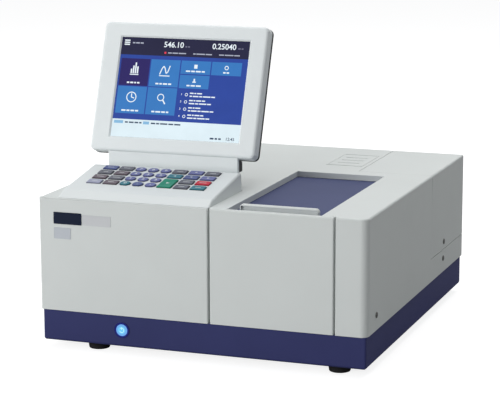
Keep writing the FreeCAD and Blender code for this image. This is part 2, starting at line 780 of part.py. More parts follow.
def build_console():
    """Sloped keypad console: a hollow wedge with an aperture for each key, and the display's hinge ears."""
    body = new_body("console_housing")
    crease = (crease_y, top_z + " + crease_height")
    ledge_end = console_rear_y + " + ledge_depth"
    profile = [(console_front_y, top_z), crease, (console_rear_y, console_rear_z),
               (console_rear_y + " + rear_slant", ledge_z), (ledge_end, ledge_z), (ledge_end, top_z)]
    pad(body, "YZ", "-console_left", "console_right", profile)
    dress(body, "Fillet", "crease_round", lambda edge, whole: along_x(edge) and edge.ZMin > whole.ZMin + 1
          and edge.YMin < whole.YMin + sizes["crease_back"] + 1)
    dress(body, "Fillet", "console_edge",
          lambda edge, whole: edge.ZMax > whole.ZMin + sizes["ledge_height"] + 1
          and (near(edge.XLength, 0) or near(edge.ZMax, whole.ZMax)))
    rise = "console_wall / cos(keypad_slope)"
    hollow = [(console_front_y + " + 2.5 * console_wall", top_z),
              (crease_y, top_z + " + crease_height - " + rise),
              (console_rear_y + " - console_wall",
               console_rear_z + " - console_wall * tan(keypad_slope) - " + rise),
              (console_rear_y + " + rear_slant - 1.5 * console_wall", top_z)]
    pocket(body, "YZ", "-console_left + console_wall", "console_right - console_wall", hollow)
    side = "(neck_width / 2 - bracket_inset)"
    ledge_start = console_rear_y + " + rear_slant"
    pocket(body, "XY", top_z, ledge_z, rectangle("neck_centre + " + side, "console_right", ledge_start, ledge_end),
           rectangle("-console_left", "neck_centre - " + side, ledge_start, ledge_end))
    for low in ("neck_centre + %s - ear_thickness" % side, "neck_centre - " + side):
        high = low + " + ear_thickness"
        post = rectangle(hinge_y + " - hinge_barrel / 2", hinge_y + " + hinge_barrel / 2", ledge_z, hinge_z)
        pad(body, "YZ", low, high, post)
        pad(body, "YZ", low, high, circles=[(hinge_y, hinge_z, "hinge_barrel")])
        pocket(body, "YZ", low, high, circles=[(hinge_y, hinge_z, "hinge_pin + 2 * hinge_fit")])
    sketch = new_sketch(body, "XY", top_z + " + crease_height")
    turn = FreeCAD.Rotation(FreeCAD.Vector(1, 0, 0), 1)
    sketch.AttachmentOffset = FreeCAD.Placement(FreeCAD.Vector(), turn)
    sketch.setExpression("AttachmentOffset.Rotation.Angle", bound("keypad_slope"))
    sketch.setExpression("AttachmentOffset.Base.y", bound(crease_y))
    for key in key_layout():
        add_outline(sketch, key_rectangle(key, "key_gap"))
    feature_from(body, "Pocket", sketch, "0", "1.5 * console_wall", False)
    wall = sizes["console_wall"]
    reach = sizes["oval_pitch"] + sizes["oval_key"] / 2 + 2 * sizes["key_gap"]

    def aperture_corner(edge):
        return near(edge.XLength, 0) and near(edge.DiagonalLength, wall) and edge.ZLength > 0.9 * wall

    def near_ovals(edge):
        return abs(edge.XMin - sizes["key_column_centre"]) < reach

    dress(body, "Chamfer", "(oval_key_corner + key_gap) * (2 - sqrt(2))",
          lambda edge, whole: aperture_corner(edge) and near_ovals(edge))


def build_lid():
    """Sliding lid of the sample compartment, with its upright grip."""
    lid = new_body("sample_lid")
    reach = " slide_lip - slide_gap"
    pad(lid, "XY", lid_bottom_z, lid_top_z,
        rectangle("%s -%s" % (recess_left, reach.replace("-", "+")), "%s +%s" % (recess_right, reach),
                  bulkhead_back_y + " + slide_gap", "recess_rear + lid_hidden"))
    dress(lid, "Fillet", "lid_corner", lambda edge, whole: along_z(edge))
    grip = new_body("lid_handle")
    low = panel_back_y + " + grip_back"
    left = "recess_centre - grip_width / 2"
    right = "recess_centre + grip_width / 2"
    high_z = lid_top_z + " + grip_height"
    pad(grip, "XZ", low, low + " + grip_thickness", rectangle(left, right, lid_top_z, high_z))
    dress(grip, "Fillet", "grip_corner", lambda edge, whole: along_y(edge) and near(edge.ZMin, whole.ZMax))
    dress(grip, "Chamfer", "grip_edge", lambda edge, whole: near(edge.YLength, 0)
          and edge.ZMax > whole.ZMin + 1 and near(edge.YMin, whole.YMin))
    pocket(grip, "XZ", low, low + " + grip_recess",
           rectangle(left + " + grip_rim", right + " - grip_rim", lid_top_z + " + grip_rim",
                     high_z + " - grip_rim"))


def display_frame(item):
    """Own frame of the display: origin at the foot of its front face, +Y into it, +Z up its face."""
    place(item, "neck_centre + display_offset", display_y, display_z, "-display_tilt")


def display_point(depth, rise):
    """The cabinet's Y and Z of a point given in the display's own frame."""
    return ("%s + (%s) * cos(display_tilt) + (%s) * sin(display_tilt)" % (display_y, depth, rise),
            "%s - (%s) * sin(display_tilt) + (%s) * cos(display_tilt)" % (display_z, depth, rise))


def build_display():
    """Display head: front housing, LCD panel and vented back cover."""
    bezel = new_body("display_bezel")
    side = "(display_width / 2)"
    pad(bezel, "XZ", "0", "display_depth", rectangle("-" + side, side, "0", "display_height"))
    dress(bezel, "Fillet", "display_corner", lambda edge, whole: along_y(edge))
    dress(bezel, "Fillet", "display_edge", lambda edge, whole: near(edge.YMax, whole.YMin))
    pocket(bezel, "XZ", "display_wall", "display_depth",
           rectangle("-%s + display_wall" % side, side + " - display_wall", "display_wall",
                     "display_height - display_wall"))
    pocket(bezel, "XZ", "0", "display_wall",
           rectangle("screen_offset - screen_width / 2", "screen_offset + screen_width / 2", "screen_bottom",
                     "screen_bottom + screen_height"))
    margin = 2 * sizes["display_corner"]
    dress(bezel, "Chamfer", "display_wall - screen_land",
          lambda edge, whole: near(edge.YMax, whole.YMin) and edge.XMin > whole.XMin + margin
          and edge.XMax < whole.XMax - margin)
    tongue = "(neck_width / 2 - bracket_inset + tongue_gap)"
    pocket(bezel, "XY", "0", "display_wall",
           rectangle("-display_offset - " + tongue, "-display_offset + " + tongue,
                     "tongue_depth - tongue_gap", "tongue_depth + tongue_thickness + tongue_gap"))
    display_frame(bezel)
    panel = new_body("lcd_panel")
    pad(panel, "XZ", "display_wall", "display_wall + lcd_thickness",
        rectangle("screen_offset - screen_width / 2 - lcd_margin",
                  "screen_offset + screen_width / 2 + lcd_margin",
                  "screen_bottom - lcd_margin", "screen_bottom + screen_height + lcd_margin"))
    display_frame(panel)
    back = new_body("display_back_cover")
    inner = "(display_width / 2 - display_wall - slide_gap)"
    flange_low = "display_depth - display_wall"
    pad(back, "XZ", flange_low, "display_depth",
        rectangle("-" + inner, inner, "display_wall + slide_gap", "display_height - display_wall - slide_gap"))
    outer = "(display_width / 2 - back_cover_inset)"
    pad(back, "XZ", "display_depth", "display_depth + back_cover_depth",
        rectangle("-" + outer, outer, "back_cover_inset", "display_height - back_cover_inset"))
    dress(back, "Chamfer", "back_cover_bevel", lambda edge, whole: near(edge.YMin, whole.YMax))
    hollow = "(display_width / 2 - back_cover_inset - back_cover_bevel - display_wall)"
    pocket(back, "XZ", flange_low, "display_depth + back_cover_depth - display_wall",
           rectangle("-" + hollow, hollow, "back_cover_inset + back_cover_bevel + display_wall",
                     "display_height - back_cover_inset - back_cover_bevel - display_wall"))
    slot_foot = "display_height - 2 * back_cover_inset - vent_pitch * vent_count"
    slot = pocket(back, "XZ", "display_depth + back_cover_depth - display_wall",
                  "display_depth + back_cover_depth",
                  rectangle("-vent_width", "vent_width", slot_foot, slot_foot + " + vent_height"))
    pattern = back.newObject("PartDesign::LinearPattern", "vent_pattern")
    pattern.Originals = [slot]
    pattern.Direction = (origin_item(back, "Z_Axis"), [""])
    pattern.setExpression("Length", bound("(vent_count - 1) * vent_pitch"))
    pattern.setExpression("Occurrences", bound("vent_count"))
    back.Tip = pattern
    doc.recompute()
    display_frame(back)


def build_neck():
    """Neck of the display: a bracket with the hinge pins and a tongue, and the white cover on its front."""
    front = "(%s - bracket_front)" % hinge_y
    rear = "(%s + bracket_rear)" % hinge_y
    under_front = display_z + " - (%s - %s) * tan(display_tilt)" % (front, display_y)
    under_rear = display_z + " - (%s - %s) * tan(display_tilt)" % (rear, display_y)
    bracket = new_body("neck_bracket")
    side = "(neck_width / 2 - bracket_inset)"
    low = "neck_centre - " + side
    high = "neck_centre + " + side
    far = "tongue_depth + tongue_thickness"
    shoulder = "(%s + hinge_barrel / 2 + ear_gap)" % hinge_z
    profile = [(front, shoulder), (front, under_front), display_point("tongue_depth", "0"),
               display_point("tongue_depth", "tongue_height"), display_point(far, "tongue_height"),
               display_point(far, "0"), (rear, under_rear), (rear, shoulder)]
    pad(bracket, "YZ", low, high, profile)
    inner_low = low + " + ear_thickness + ear_gap"
    inner_high = high + " - ear_thickness - ear_gap"
    pad(bracket, "YZ", inner_low, inner_high,
        rectangle(front, hinge_y + " + hinge_barrel / 2", hinge_z, shoulder))
    pad(bracket, "YZ", inner_low, inner_high, circles=[(hinge_y, hinge_z, "hinge_barrel")])
    pocket(bracket, "XZ", front + " + bracket_wall", rear,
           rectangle(low + " + bracket_wall", high + " - bracket_wall",
                     shoulder + " + bracket_wall", under_rear + " - bracket_wall"))
    pad(bracket, "YZ", low, high, circles=[(hinge_y, hinge_z, "hinge_pin")])
    cover = new_body("neck_cover")
    face = "(%s - neck_skin)" % front
    under_face = display_z + " - (%s - %s) * tan(display_tilt)" % (face, display_y)
    skirt = hinge_z + " + neck_foot"
    pad(cover, "YZ", "neck_centre - neck_width / 2", "neck_centre + neck_width / 2",
        [(face, skirt), (front, skirt), (front, under_front), (face, under_face)])
    dress(cover, "Fillet", "neck_skin / 3", lambda edge, whole: along_z(edge) and near(edge.YMax, whole.YMin))


def build_power_button():
    """Lit power button with a flange behind the tray's wall and a stem to its switch."""
    body = new_body("power_button")
    centre = ("button_place", "foot_height + button_height")
    face = "(-body_depth / 2 + skirt_inset)"
    flange = face + " + skirt_wall + slide_gap"
    stem = flange + " + button_flange_height"
    pad(body, "XZ", face + " - ring_proud - button_proud", flange, circles=[centre + ("button_diameter",)])
    dress(body, "Chamfer", "button_proud", lambda edge, whole: near(edge.YMax, whole.YMin))
    for low, high, width in ((flange, stem, "button_flange"), (stem, stem + " + button_stem_length",
                                                               "button_stem")):
        half = width + " / 2"
        pad(body, "XZ", low, high,
            rectangle("%s - %s" % (centre[0], half), "%s + %s" % (centre[0], half),
                      "%s - %s" % (centre[1], half), "%s + %s" % (centre[1], half)))


def build_screws():
    """Pan-head screws through the right side of the covers."""
    low = seam_z + " + side_screw_height"
    lamp_y = "lamp_cover_front + lamp_screw_back"
    lamp_z = "lamp_cover_foot + lamp_screw_height"
    places = [(side_screws[0], low), (side_screws[1], low), (lamp_y, lamp_z)]
    screws = []
    for y, z in places:
        head = cylinder("screw_head", "screw_head", "screw_head_height", right_x, y, z, "X")
        shank = cylinder("screw_shank", "screw_shank", "screw_length", right_x, y, z, "-X")
        screws.append(fuse("screw", [head, shank]))
    group("cover_screws", screws)


def build_bench():
    """Cast optical bench: a plate on legs, the monochromator's tub and the grating's bearing."""
    body = new_body("optical_bench")
    plate = bench_z + " - bench_thickness"
    pad(body, "XY", plate, bench_z, rectangle("bench_left", bench_right, bench_front, bench_rear))
    legs = []
    for x in ("bench_left + bench_leg / 2", bench_right + " - 1.5 * bench_leg"):
        for y in (bench_front + " + bench_leg / 2", "(%s + %s - bench_leg) / 2" % (bench_front, bench_rear),
                  bench_rear + " - 1.5 * bench_leg"):
            legs.append(rectangle(x, x + " + bench_leg", y, y + " + bench_leg"))
    pad(body, "XY", tray_z, plate, *legs)
    neck = "bench_left + tub_neck_width"
    wide = lamp_house_left + " - tub_gap"

    def tub_outline(inset):
        left = "bench_left + " + inset
        front = "%s + %s" % (bench_front, inset)
        middle = "%s - %s" % (neck, inset)
        step = "tub_step + " + inset
        right = "%s - %s" % (wide, inset)
        rear = "%s - %s" % (bench_rear, inset)
        return [(left, front), (middle, front), (middle, step), (right, step), (right, rear), (left, rear)]

    pad(body, "XY", bench_z, bench_z + " + tub_height", tub_outline("0"), tub_outline("tub_wall"))
    pad(body, "XY", bench_z, bench_z + " + spindle_length / 2",
        circles=[("grating_x", "grating_y", "spindle_boss")])
    pocket(body, "XY", plate, bench_z + " + spindle_length / 2",
           circles=[("grating_x", "grating_y", "spindle_diameter + 2 * spindle_fit")])
    windows = [rectangle("%s - window_width / 2" % beam, "%s + window_width / 2" % beam,
                         beam_z + " - window_width / 2", beam_z + " + window_width / 2")
               for beam in ("sample_beam", "reference_beam")]
    pocket(body, "YZ", neck + " - tub_wall", neck, *windows)
    pocket(body, "YZ", wide + " - tub_wall", wide, lamp_port())


def lamp_port():
    """Square port through which the lamps' light enters the monochromator's tub."""
    return rectangle(source_y + " - lamp_port / 2", source_y + " + lamp_port / 2", beam_z + " - lamp_port / 2",
                     beam_z + " + lamp_port / 2")


def turning_optic(label, x, y, seat, width, height, thickness):
    """An optic that stands on a turntable, with a spindle down into its bearing."""
    body = new_body(label)
    table = seat + " + slide_gap"
    top = table + " + turntable_thickness"
    half = "turntable_width / 2"
    pad(body, "XY", table, top, rectangle("%s - %s" % (x, half), "%s + %s" % (x, half), "%s - %s" % (y, half),
                                          "%s + %s" % (y, half)))
    pad(body, "XY", table + " - spindle_length", table, circles=[(x, y, "spindle_diameter")])
    pad(body, "XY", top, "%s + %s" % (top, height),
        rectangle("%s - %s / 2" % (x, width), "%s + %s / 2" % (x, width), "%s - %s / 2" % (y, thickness),
                  "%s + %s / 2" % (y, thickness)))


def build_source():
    """Lamp house with its two lamps and the mirror that swings between them."""
    house = new_body("lamp_house")
    high = bench_z + " + lamp_house_height"
    wall = " lamp_house_wall"
    pad(house, "XY", bench_z, high, rectangle(lamp_house_left, bench_right, lamp_house_front, bench_rear))
    floor = bench_z + " +" + wall
    pocket(house, "XY", floor, high,
           rectangle(lamp_house_left + " +" + wall, bench_right + " -" + wall, lamp_house_front + " +" + wall,
                     bench_rear + " -" + wall))
    pocket(house, "YZ", lamp_house_left, lamp_house_left + " +" + wall, lamp_port())
    half = "(grille_width / 2)"
    pocket(house, "XZ", bench_rear + " -" + wall, bench_rear,
           rectangle("%s - %s" % (fan_x, half), "%s + %s" % (fan_x, half), floor + " + tub_wall",
                     high + " - tub_wall"))
    pad(house, "XY", floor, floor + " + spindle_length", circles=[(mirror_x, source_y, "spindle_boss")])
    pocket(house, "XY", bench_z, floor + " + spindle_length",
           circles=[(mirror_x, source_y, "spindle_diameter + 2 * spindle_fit")])
    turning_optic("source_mirror", mirror_x, source_y, floor + " + spindle_length", "mirror_size",
                  "mirror_size", "mirror_thickness")
    lamps = []
    deuterium_x = "%s - deuterium_inset" % bench_right
    tungsten_y = "%s - tungsten_back" % bench_rear
    for x, y, diameter, height in ((deuterium_x, source_y, "deuterium_diameter", "deuterium_height"),
                                   (mirror_x, tungsten_y, "tungsten_diameter", "tungsten_height")):
        half = "0.65 * " + diameter
        base = box("lamp_base", "%s - %s" % (x, half), "%s + %s" % (x, half), "%s - %s" % (y, half),
                   "%s + %s" % (y, half), floor, floor + " + lamp_socket")
        bulb = cylinder("bulb", diameter, height, x, y, floor + " + lamp_socket")
        lamps.append(fuse("lamp", [base, bulb]))
    group("source_lamps", lamps)


def build_sample_area():
    """Black chamber under the lid, the two-well cell holder in it and the detector block beside it."""
    chamber = new_body("sample_chamber")
    left = "(%s + slide_lip + chamber_gap)" % recess_left
    right = "(%s - slide_lip - chamber_gap)" % recess_right
    front = "(%s + chamber_gap)" % bulkhead_back_y
    rim = lid_bottom_z + " - slide_gap"
    pad(chamber, "XY", bench_z, rim, rectangle(left, right, front, "chamber_rear"))
    pocket(chamber, "XY", bench_z + " + chamber_wall", rim,
           rectangle(left + " + chamber_wall", right + " - chamber_wall", front + " + chamber_wall",
                     "chamber_rear - chamber_wall"))
    half = "chamber_window / 2"
    windows = [rectangle("%s - %s" % (beam, half), "%s + %s" % (beam, half), "%s - %s" % (beam_z, half),
                         "%s + %s" % (beam_z, half)) for beam in ("sample_beam", "reference_beam")]
    pocket(chamber, "YZ", left, right, *windows)
    holder = new_body("cell_holder")
    floor = bench_z + " + chamber_wall"
    seat = floor + " + holder_plate"
    middle = "(sample_beam + reference_beam) / 2"
    pad(holder, "XY", floor, seat, rectangle("recess_centre - holder_width / 2",
                                             "recess_centre + holder_width / 2",
                                             middle + " - holder_length / 2", middle + " + holder_length / 2"))
    tops = seat + " + holder_tower_height"
    towers = []
    wells = []
    for beam in ("sample_beam", "reference_beam"):
        for outlines, across in ((towers, "holder_tower"), (wells, "cuvette_well")):
            outlines.append(rectangle("recess_centre - %s / 2" % across, "recess_centre + %s / 2" % across,
                                      "%s - %s / 2" % (beam, across), "%s + %s / 2" % (beam, across)))
    pad(holder, "XY", seat, tops, *towers)
    pocket(holder, "XY", tops + " - cuvette_depth", tops, *wells)
    slits = [rectangle(beam + " - cell_window_width / 2", beam + " + cell_window_width / 2",
                       beam_z + " - cell_window_height / 2", beam_z + " + cell_window_height / 2")
             for beam in ("sample_beam", "reference_beam")]
    pocket(holder, "YZ", "recess_centre - holder_tower / 2", "recess_centre + holder_tower / 2", *slits)
    detector = new_body("detector_block")
    low_x = right + " + detector_gap"
    pad(detector, "XY", bench_z, bench_z + " + detector_height",
        rectangle(low_x, low_x + " + detector_width", middle + " - detector_length / 2",
                  middle + " + detector_length / 2"))
    half = "detector_window / 2"
    windows = [rectangle("%s - %s" % (beam, half), "%s + %s" % (beam, half), "%s - %s" % (beam_z, half),
                         "%s + %s" % (beam_z, half)) for beam in ("sample_beam", "reference_beam")]
    pocket(detector, "YZ", low_x, low_x + " + detector_window_depth", *windows)


def build_electronics():
    """Keypad board on its standoffs under the console, main board and power supply on the tray."""
    keypad = helper_body("keypad_board")
    top = "(-console_wall - 2 * slide_gap - key_flange_height - key_travel)"
    rear = "key_row_front + 3 * key_row_pitch + key_length / 2 + keypad_end"
    front = "key_row_front - key_length / 2 - keypad_end"
    outer = "(oval_pitch + oval_to_wide + wide_key / 2 + keypad_margin)"
    left = "key_column_centre - wide_pitch - " + outer
    right = "key_column_centre + 2 * wide_pitch + " + outer
    pad(keypad, "XY", top + " - keypad_board", top, rectangle(left, right, front, rear))
    inset = " keypad_margin / 6"
    width = " + keypad_margin / 2"
    posts = []
    for x in (left + " +" + inset, right + " - keypad_margin / 2 -" + inset):
        for y in (front + " +" + inset, rear + " - keypad_margin / 2 -" + inset):
            posts.append(rectangle(x, x + width, y, y + width))
    pad(keypad, "XY", top, "-console_wall", *posts)
    keypad_frame(keypad)
    board = helper_body("main_board")
    low = tray_z + " + board_standoff"
    right = board_left + " + board_width"
    rear = "board_front + board_length"
    pad(board, "XY", low, low + " + board_thickness", rectangle(board_left, right, "board_front", rear))
    posts = []
    for x in (board_left + " + standoff_inset", right + " - standoff_inset - standoff_width"):
        for y in ("board_front + standoff_inset", rear + " - standoff_inset - standoff_width"):
            posts.append(rectangle(x, x + " + standoff_width", y, y + " + standoff_width"))
    pad(board, "XY", tray_z, low, *posts)
    supply = box("power_supply", board_left, board_left + " + supply_width", "supply_front",
                 "supply_front + supply_length", tray_z, tray_z + " + supply_height")
    group("circuit_boards", [keypad, board, supply])


for build in (build_base, build_feet, build_main_cover, build_front_panels, build_lamp_cover, build_rear_panel,
              build_rear_connectors, build_fan, build_console, build_keys, build_lid, build_display, build_neck,
              build_power_button, build_screws, build_bench, build_source, build_sample_area,
              build_electronics):
    build()
turning_optic("grating", "grating_x", "grating_y", bench_z + " + spindle_length / 2", "grating_width",
              "grating_height", "grating_thickness")
doc.recompute()

failed = [item.Label for item in doc.Objects if "Invalid" in item.State or "Error" in item.State]
failed += [item.Label for item in nodes if item.Shape.isNull() or not item.Shape.isValid()]
if failed:
    raise RuntimeError("failed: " + ", ".join(failed))
os.makedirs("parts", exist_ok=True)
for item in nodes:
    item.Shape.exportStep("parts/%s.step" % item.Label)
print(len(nodes), "nodes written")
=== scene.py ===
import bpy
import bmesh
import json
import math
from mathutils import Matrix, Vector


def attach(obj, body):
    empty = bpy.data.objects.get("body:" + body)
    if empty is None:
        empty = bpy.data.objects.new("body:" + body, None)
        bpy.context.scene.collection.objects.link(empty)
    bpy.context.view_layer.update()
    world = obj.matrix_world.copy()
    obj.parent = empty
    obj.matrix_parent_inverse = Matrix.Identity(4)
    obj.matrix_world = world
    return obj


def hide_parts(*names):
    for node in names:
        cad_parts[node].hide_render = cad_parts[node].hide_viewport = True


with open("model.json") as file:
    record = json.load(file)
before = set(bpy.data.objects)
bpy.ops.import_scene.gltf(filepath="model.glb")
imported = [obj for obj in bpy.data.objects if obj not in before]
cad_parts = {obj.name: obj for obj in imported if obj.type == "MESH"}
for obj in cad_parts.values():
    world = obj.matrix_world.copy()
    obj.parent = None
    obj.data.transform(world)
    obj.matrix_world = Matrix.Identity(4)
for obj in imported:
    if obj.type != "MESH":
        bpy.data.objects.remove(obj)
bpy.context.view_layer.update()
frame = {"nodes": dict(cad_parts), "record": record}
nodes = frame["nodes"]
slotOf = {item["node"]: item["material_slot"] for item in frame["record"]["subparts"]}
bodyOf = {node: body for body, members in frame["record"]["behaviour"]["bodies"].items() for node in members}
scene = bpy.context.scene
scene.view_settings.view_transform = "Standard"
mm = 0.001
print("frame loaded:", len(nodes), "nodes")


def clearSelection():
    if bpy.context.object and bpy.context.object.mode != "OBJECT":
        bpy.ops.object.mode_set(mode="OBJECT")
    bpy.ops.object.select_all(action="DESELECT")


def useOnly(piece):
    clearSelection()
    piece.select_set(True)
    bpy.context.view_layer.objects.active = piece


def named(name):
    piece = bpy.context.object
    piece.name = name
    piece.data.name = name
    return piece


def settled(piece):
    useOnly(piece)
    bpy.ops.object.transform_apply(location=True, rotation=True, scale=True)
    return piece


def addBlock(name, low, high, turn=0):
    # a block between two corners in millimetres, turned about its own middle in the XZ plane
    clearSelection()
    middle = [(a + b) / 2 * mm for a, b in zip(low, high)]
    bpy.ops.mesh.primitive_cube_add(size=1, location=middle, rotation=(0, math.radians(turn), 0))
    piece = named(name)
    piece.scale = [(b - a) * mm for a, b in zip(low, high)]
    return settled(piece)


def addDisc(name, radius, low, high, centre=(0, 0), segments=48):
    # a round bar along Z between two heights, in millimetres
    clearSelection()
    bpy.ops.mesh.primitive_cylinder_add(vertices=segments, radius=radius * mm, depth=(high - low) * mm,
                                        location=(centre[0] * mm, centre[1] * mm, (low + high) / 2 * mm))
    return settled(named(name))


def editFaces(piece, chosen):
    # opens edit mode with the faces chosen whose middle and normal pass a test
    useOnly(piece)
    bpy.ops.object.mode_set(mode="EDIT")
    bpy.ops.mesh.select_mode(type="FACE")
    bpy.ops.mesh.select_all(action="DESELECT")
    mesh = bmesh.from_edit_mesh(piece.data)
    for face in mesh.faces:
        face.select_set(bool(chosen(face.calc_center_median() / mm, face.normal)))
    bmesh.update_edit_mesh(piece.data)


def editEdges(piece, chosen):
    # the same for edges, whose two ends are tested
    useOnly(piece)
    bpy.ops.object.mode_set(mode="EDIT")
    bpy.ops.mesh.select_mode(type="EDGE")
    bpy.ops.mesh.select_all(action="DESELECT")
    mesh = bmesh.from_edit_mesh(piece.data)
    for edge in mesh.edges:
        edge.select_set(bool(chosen(edge.verts[0].co / mm, edge.verts[1].co / mm)))
    bmesh.update_edit_mesh(piece.data)


def editAll(piece):
    useOnly(piece)
    bpy.ops.object.mode_set(mode="EDIT")
    bpy.ops.mesh.select_all(action="SELECT")


def endEdit():
    bpy.ops.object.mode_set(mode="OBJECT")


def bevelEdges(piece, width, segments, chosen):
    editEdges(piece, chosen)
    bpy.ops.mesh.bevel(offset=width * mm, offset_type="OFFSET", segments=segments, affect="EDGES")
    endEdit()


def roundedAll(piece, width, segments=3, angle=30):
    # every edge sharper than the angle gets a small round
    useOnly(piece)
    bevel = piece.modifiers.new("Bevel", "BEVEL")
    bevel.width = width * mm
    bevel.segments = segments
    bevel.limit_method = "ANGLE"
    bevel.angle_limit = math.radians(angle)
    bpy.ops.object.modifier_apply(modifier="Bevel")
    bpy.ops.object.shade_smooth_by_angle(angle=math.radians(angle + 5))
    weighted = piece.modifiers.new("Weighted", "WEIGHTED_NORMAL")  # flat faces stay flat in the light
    weighted.weight = 100
    weighted.keep_sharp = True
    bpy.ops.object.modifier_apply(modifier="Weighted")
    return piece


def joined(name, pieces):
    clearSelection()
    for piece in pieces:
        piece.select_set(True)
    bpy.context.view_layer.objects.active = pieces[0]
    if len(pieces) > 1:
        bpy.ops.object.join()
    return named(name)


def copied(piece, name):
    copy = piece.copy()
    copy.data = piece.data.copy()
    copy.name = name
    copy.data.name = name
    scene.collection.objects.link(copy)
    return copy


def placed(piece, matrix):
    piece.matrix_world = matrix @ piece.matrix_world
    return settled(piece)


def dressed(piece, body, slot, finish=None):
    # a finished piece gets its material, from its slot unless a finish is given, and its body
    piece.data.materials.clear()
    piece.data.materials.append(finish or finishes[slot])
    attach(piece, body)
    return piece


# materials

def driftingColour(tree, colour, amount, scale):
    # a slow drift of tone about one colour
    coordinates = tree.nodes.new("ShaderNodeTexCoord")
    drift = tree.nodes.new("ShaderNodeTexNoise")
    drift.inputs["Scale"].default_value = scale
    drift.inputs["Detail"].default_value = 4
    tree.links.new(coordinates.outputs["Object"], drift.inputs["Vector"])
    ramp = tree.nodes.new("ShaderNodeValToRGB")
    ramp.color_ramp.elements[0].position = 0.3
    ramp.color_ramp.elements[1].position = 0.7
    ramp.color_ramp.elements[0].color = (*[c * (1 - amount) for c in colour], 1)
    ramp.color_ramp.elements[1].color = (*[min(1, c * (1 + amount)) for c in colour], 1)
    tree.links.new(drift.outputs["Fac"], ramp.inputs["Fac"])
    return coordinates, ramp


def surface(name, colour, roughness, grain, grainScale, mottle, metallic=0.0, specular=0.5, patches=14):
    # moulded or cast surface: fine grain as bump, roughness that varies a little, drifting tone
    spread = 0.05
    material = bpy.data.materials.new(name)
    material.use_nodes = True
    tree = material.node_tree
    shader = tree.nodes["Principled BSDF"]
    shader.inputs["Metallic"].default_value = metallic
    shader.inputs["Specular IOR Level"].default_value = specular
    coordinates, ramp = driftingColour(tree, colour, mottle, patches)
    tree.links.new(ramp.outputs["Color"], shader.inputs["Base Color"])
    noise = tree.nodes.new("ShaderNodeTexNoise")
    noise.inputs["Scale"].default_value = grainScale
    noise.inputs["Detail"].default_value = 3
    tree.links.new(coordinates.outputs["Object"], noise.inputs["Vector"])
    bump = tree.nodes.new("ShaderNodeBump")
    bump.inputs["Strength"].default_value = grain
    bump.inputs["Distance"].default_value = 0.0002
    tree.links.new(noise.outputs["Fac"], bump.inputs["Height"])
    tree.links.new(bump.outputs["Normal"], shader.inputs["Normal"])
    gloss = tree.nodes.new("ShaderNodeMapRange")
    gloss.inputs["To Min"].default_value = max(0.02, roughness - spread)
    gloss.inputs["To Max"].default_value = roughness + spread
    tree.links.new(noise.outputs["Fac"], gloss.inputs["Value"])
    tree.links.new(gloss.outputs["Result"], shader.inputs["Roughness"])
    return material


def lit(name, colour, strength=1.0, drift=0.04, scale=30):
    # a lit area of the screen or a lamp, with a little gloss over it
    material = bpy.data.materials.new(name)
    material.use_nodes = True
    tree = material.node_tree
    shader = tree.nodes["Principled BSDF"]
    shader.inputs["Base Color"].default_value = (0.01, 0.01, 0.012, 1)
    shader.inputs["Roughness"].default_value = 0.25
    shader.inputs["Specular IOR Level"].default_value = 0.03
    shader.inputs["Emission Strength"].default_value = strength
    ramp = driftingColour(tree, colour, drift, scale)[1]
    tree.links.new(ramp.outputs["Color"], shader.inputs["Emission Color"])
    return material


finishes = {
    "white_plastic": surface("whitePaint", (0.63, 0.66, 0.648), 0.55, 0.22, 1500, 0.012, specular=0.2),
    "base_blue": surface("baseBlue", (0.031, 0.036, 0.122), 0.6, 0.3, 1200, 0.04, specular=0.15),
    "rubber_black": surface("rubberBlack", (0.012, 0.012, 0.013), 0.75, 0.4, 700, 0.1, specular=0.2),
    "lid_violet": surface("lidViolet", (0.07, 0.083, 0.168), 0.6, 0.3, 1000, 0.03, specular=0.05),
    "screen_blue": surface("screenGlass", (0.02, 0.02, 0.03), 0.15, 0.02, 60, 0.05),
    "cover_black": surface("coverBlack", (0.016, 0.017, 0.021), 0.5, 0.4, 900, 0.05, specular=0.2),
    "bracket_black": surface("bracketBlack", (0.014, 0.015, 0.018), 0.5, 0.3, 800, 0.05, specular=0.12),
    "button_light": lit("buttonLight", (0.3, 0.68, 1.0), 0.9),
    "screw_steel": surface("screwSteel", (0.11, 0.11, 0.105), 0.45, 0.15, 500, 0.05, metallic=1.0),
    "liner_black": surface("linerBlack", (0.01, 0.01, 0.01), 0.8, 0.5, 600, 0.1),
    "holder_black": surface("holderBlack", (0.025, 0.025, 0.03), 0.42, 0.2, 900, 0.05, metallic=0.6),
    "cast_grey": surface("castGrey", (0.36, 0.37, 0.38), 0.55, 0.6, 350, 0.08, metallic=0.7),
    "house_grey": surface("houseGrey", (0.3, 0.31, 0.32), 0.4, 0.2, 700, 0.04, metallic=0.6),
    "lamp_glass": surface("lampGlass", (0.75, 0.78, 0.8), 0.08, 0.02, 60, 0.02),
    "mirror_silver": surface("mirrorSilver", (0.88, 0.88, 0.88), 0.07, 0.02, 60, 0.02, metallic=1.0),
    "detector_black": surface("detectorBlack", (0.03, 0.03, 0.034), 0.5, 0.3, 700, 0.05),
    "board_green": surface("boardGreen", (0.02, 0.12, 0.045), 0.4, 0.3, 300, 0.25, patches=120),
    "fan_black": surface("fanBlack", (0.015, 0.015, 0.016), 0.5, 0.3, 800, 0.05),
    "panel_grey": surface("panelGrey", (0.5, 0.52, 0.51), 0.45, 0.3, 900, 0.02),
    "connector_black": surface("connectorBlack", (0.018, 0.018, 0.018), 0.45, 0.3, 900, 0.05),
}
keyColours = {
    "key_grey": (0.12, 0.125, 0.155), "key_dark": (0.125, 0.1, 0.122), "key_blue": (0.08, 0.105, 0.25),
    "key_violet": (0.135, 0.15, 0.33), "key_teal": (0.038, 0.175, 0.225), "key_green": (0.008, 0.21, 0.13),
    "key_red": (0.5, 0.02, 0.045), "key_light": (0.3, 0.32, 0.43),
}
# lighter whites for the display, neck and console: partly a real difference of plastic against the cabinet's
# paint, partly painted light, raised where more light falls on these faces
shellWhiteAndPaintedLight = surface("shellWhiteAndPaintedLight", (0.745, 0.785, 0.79), 0.5, 0.2, 1500, 0.012, specular=0.25)
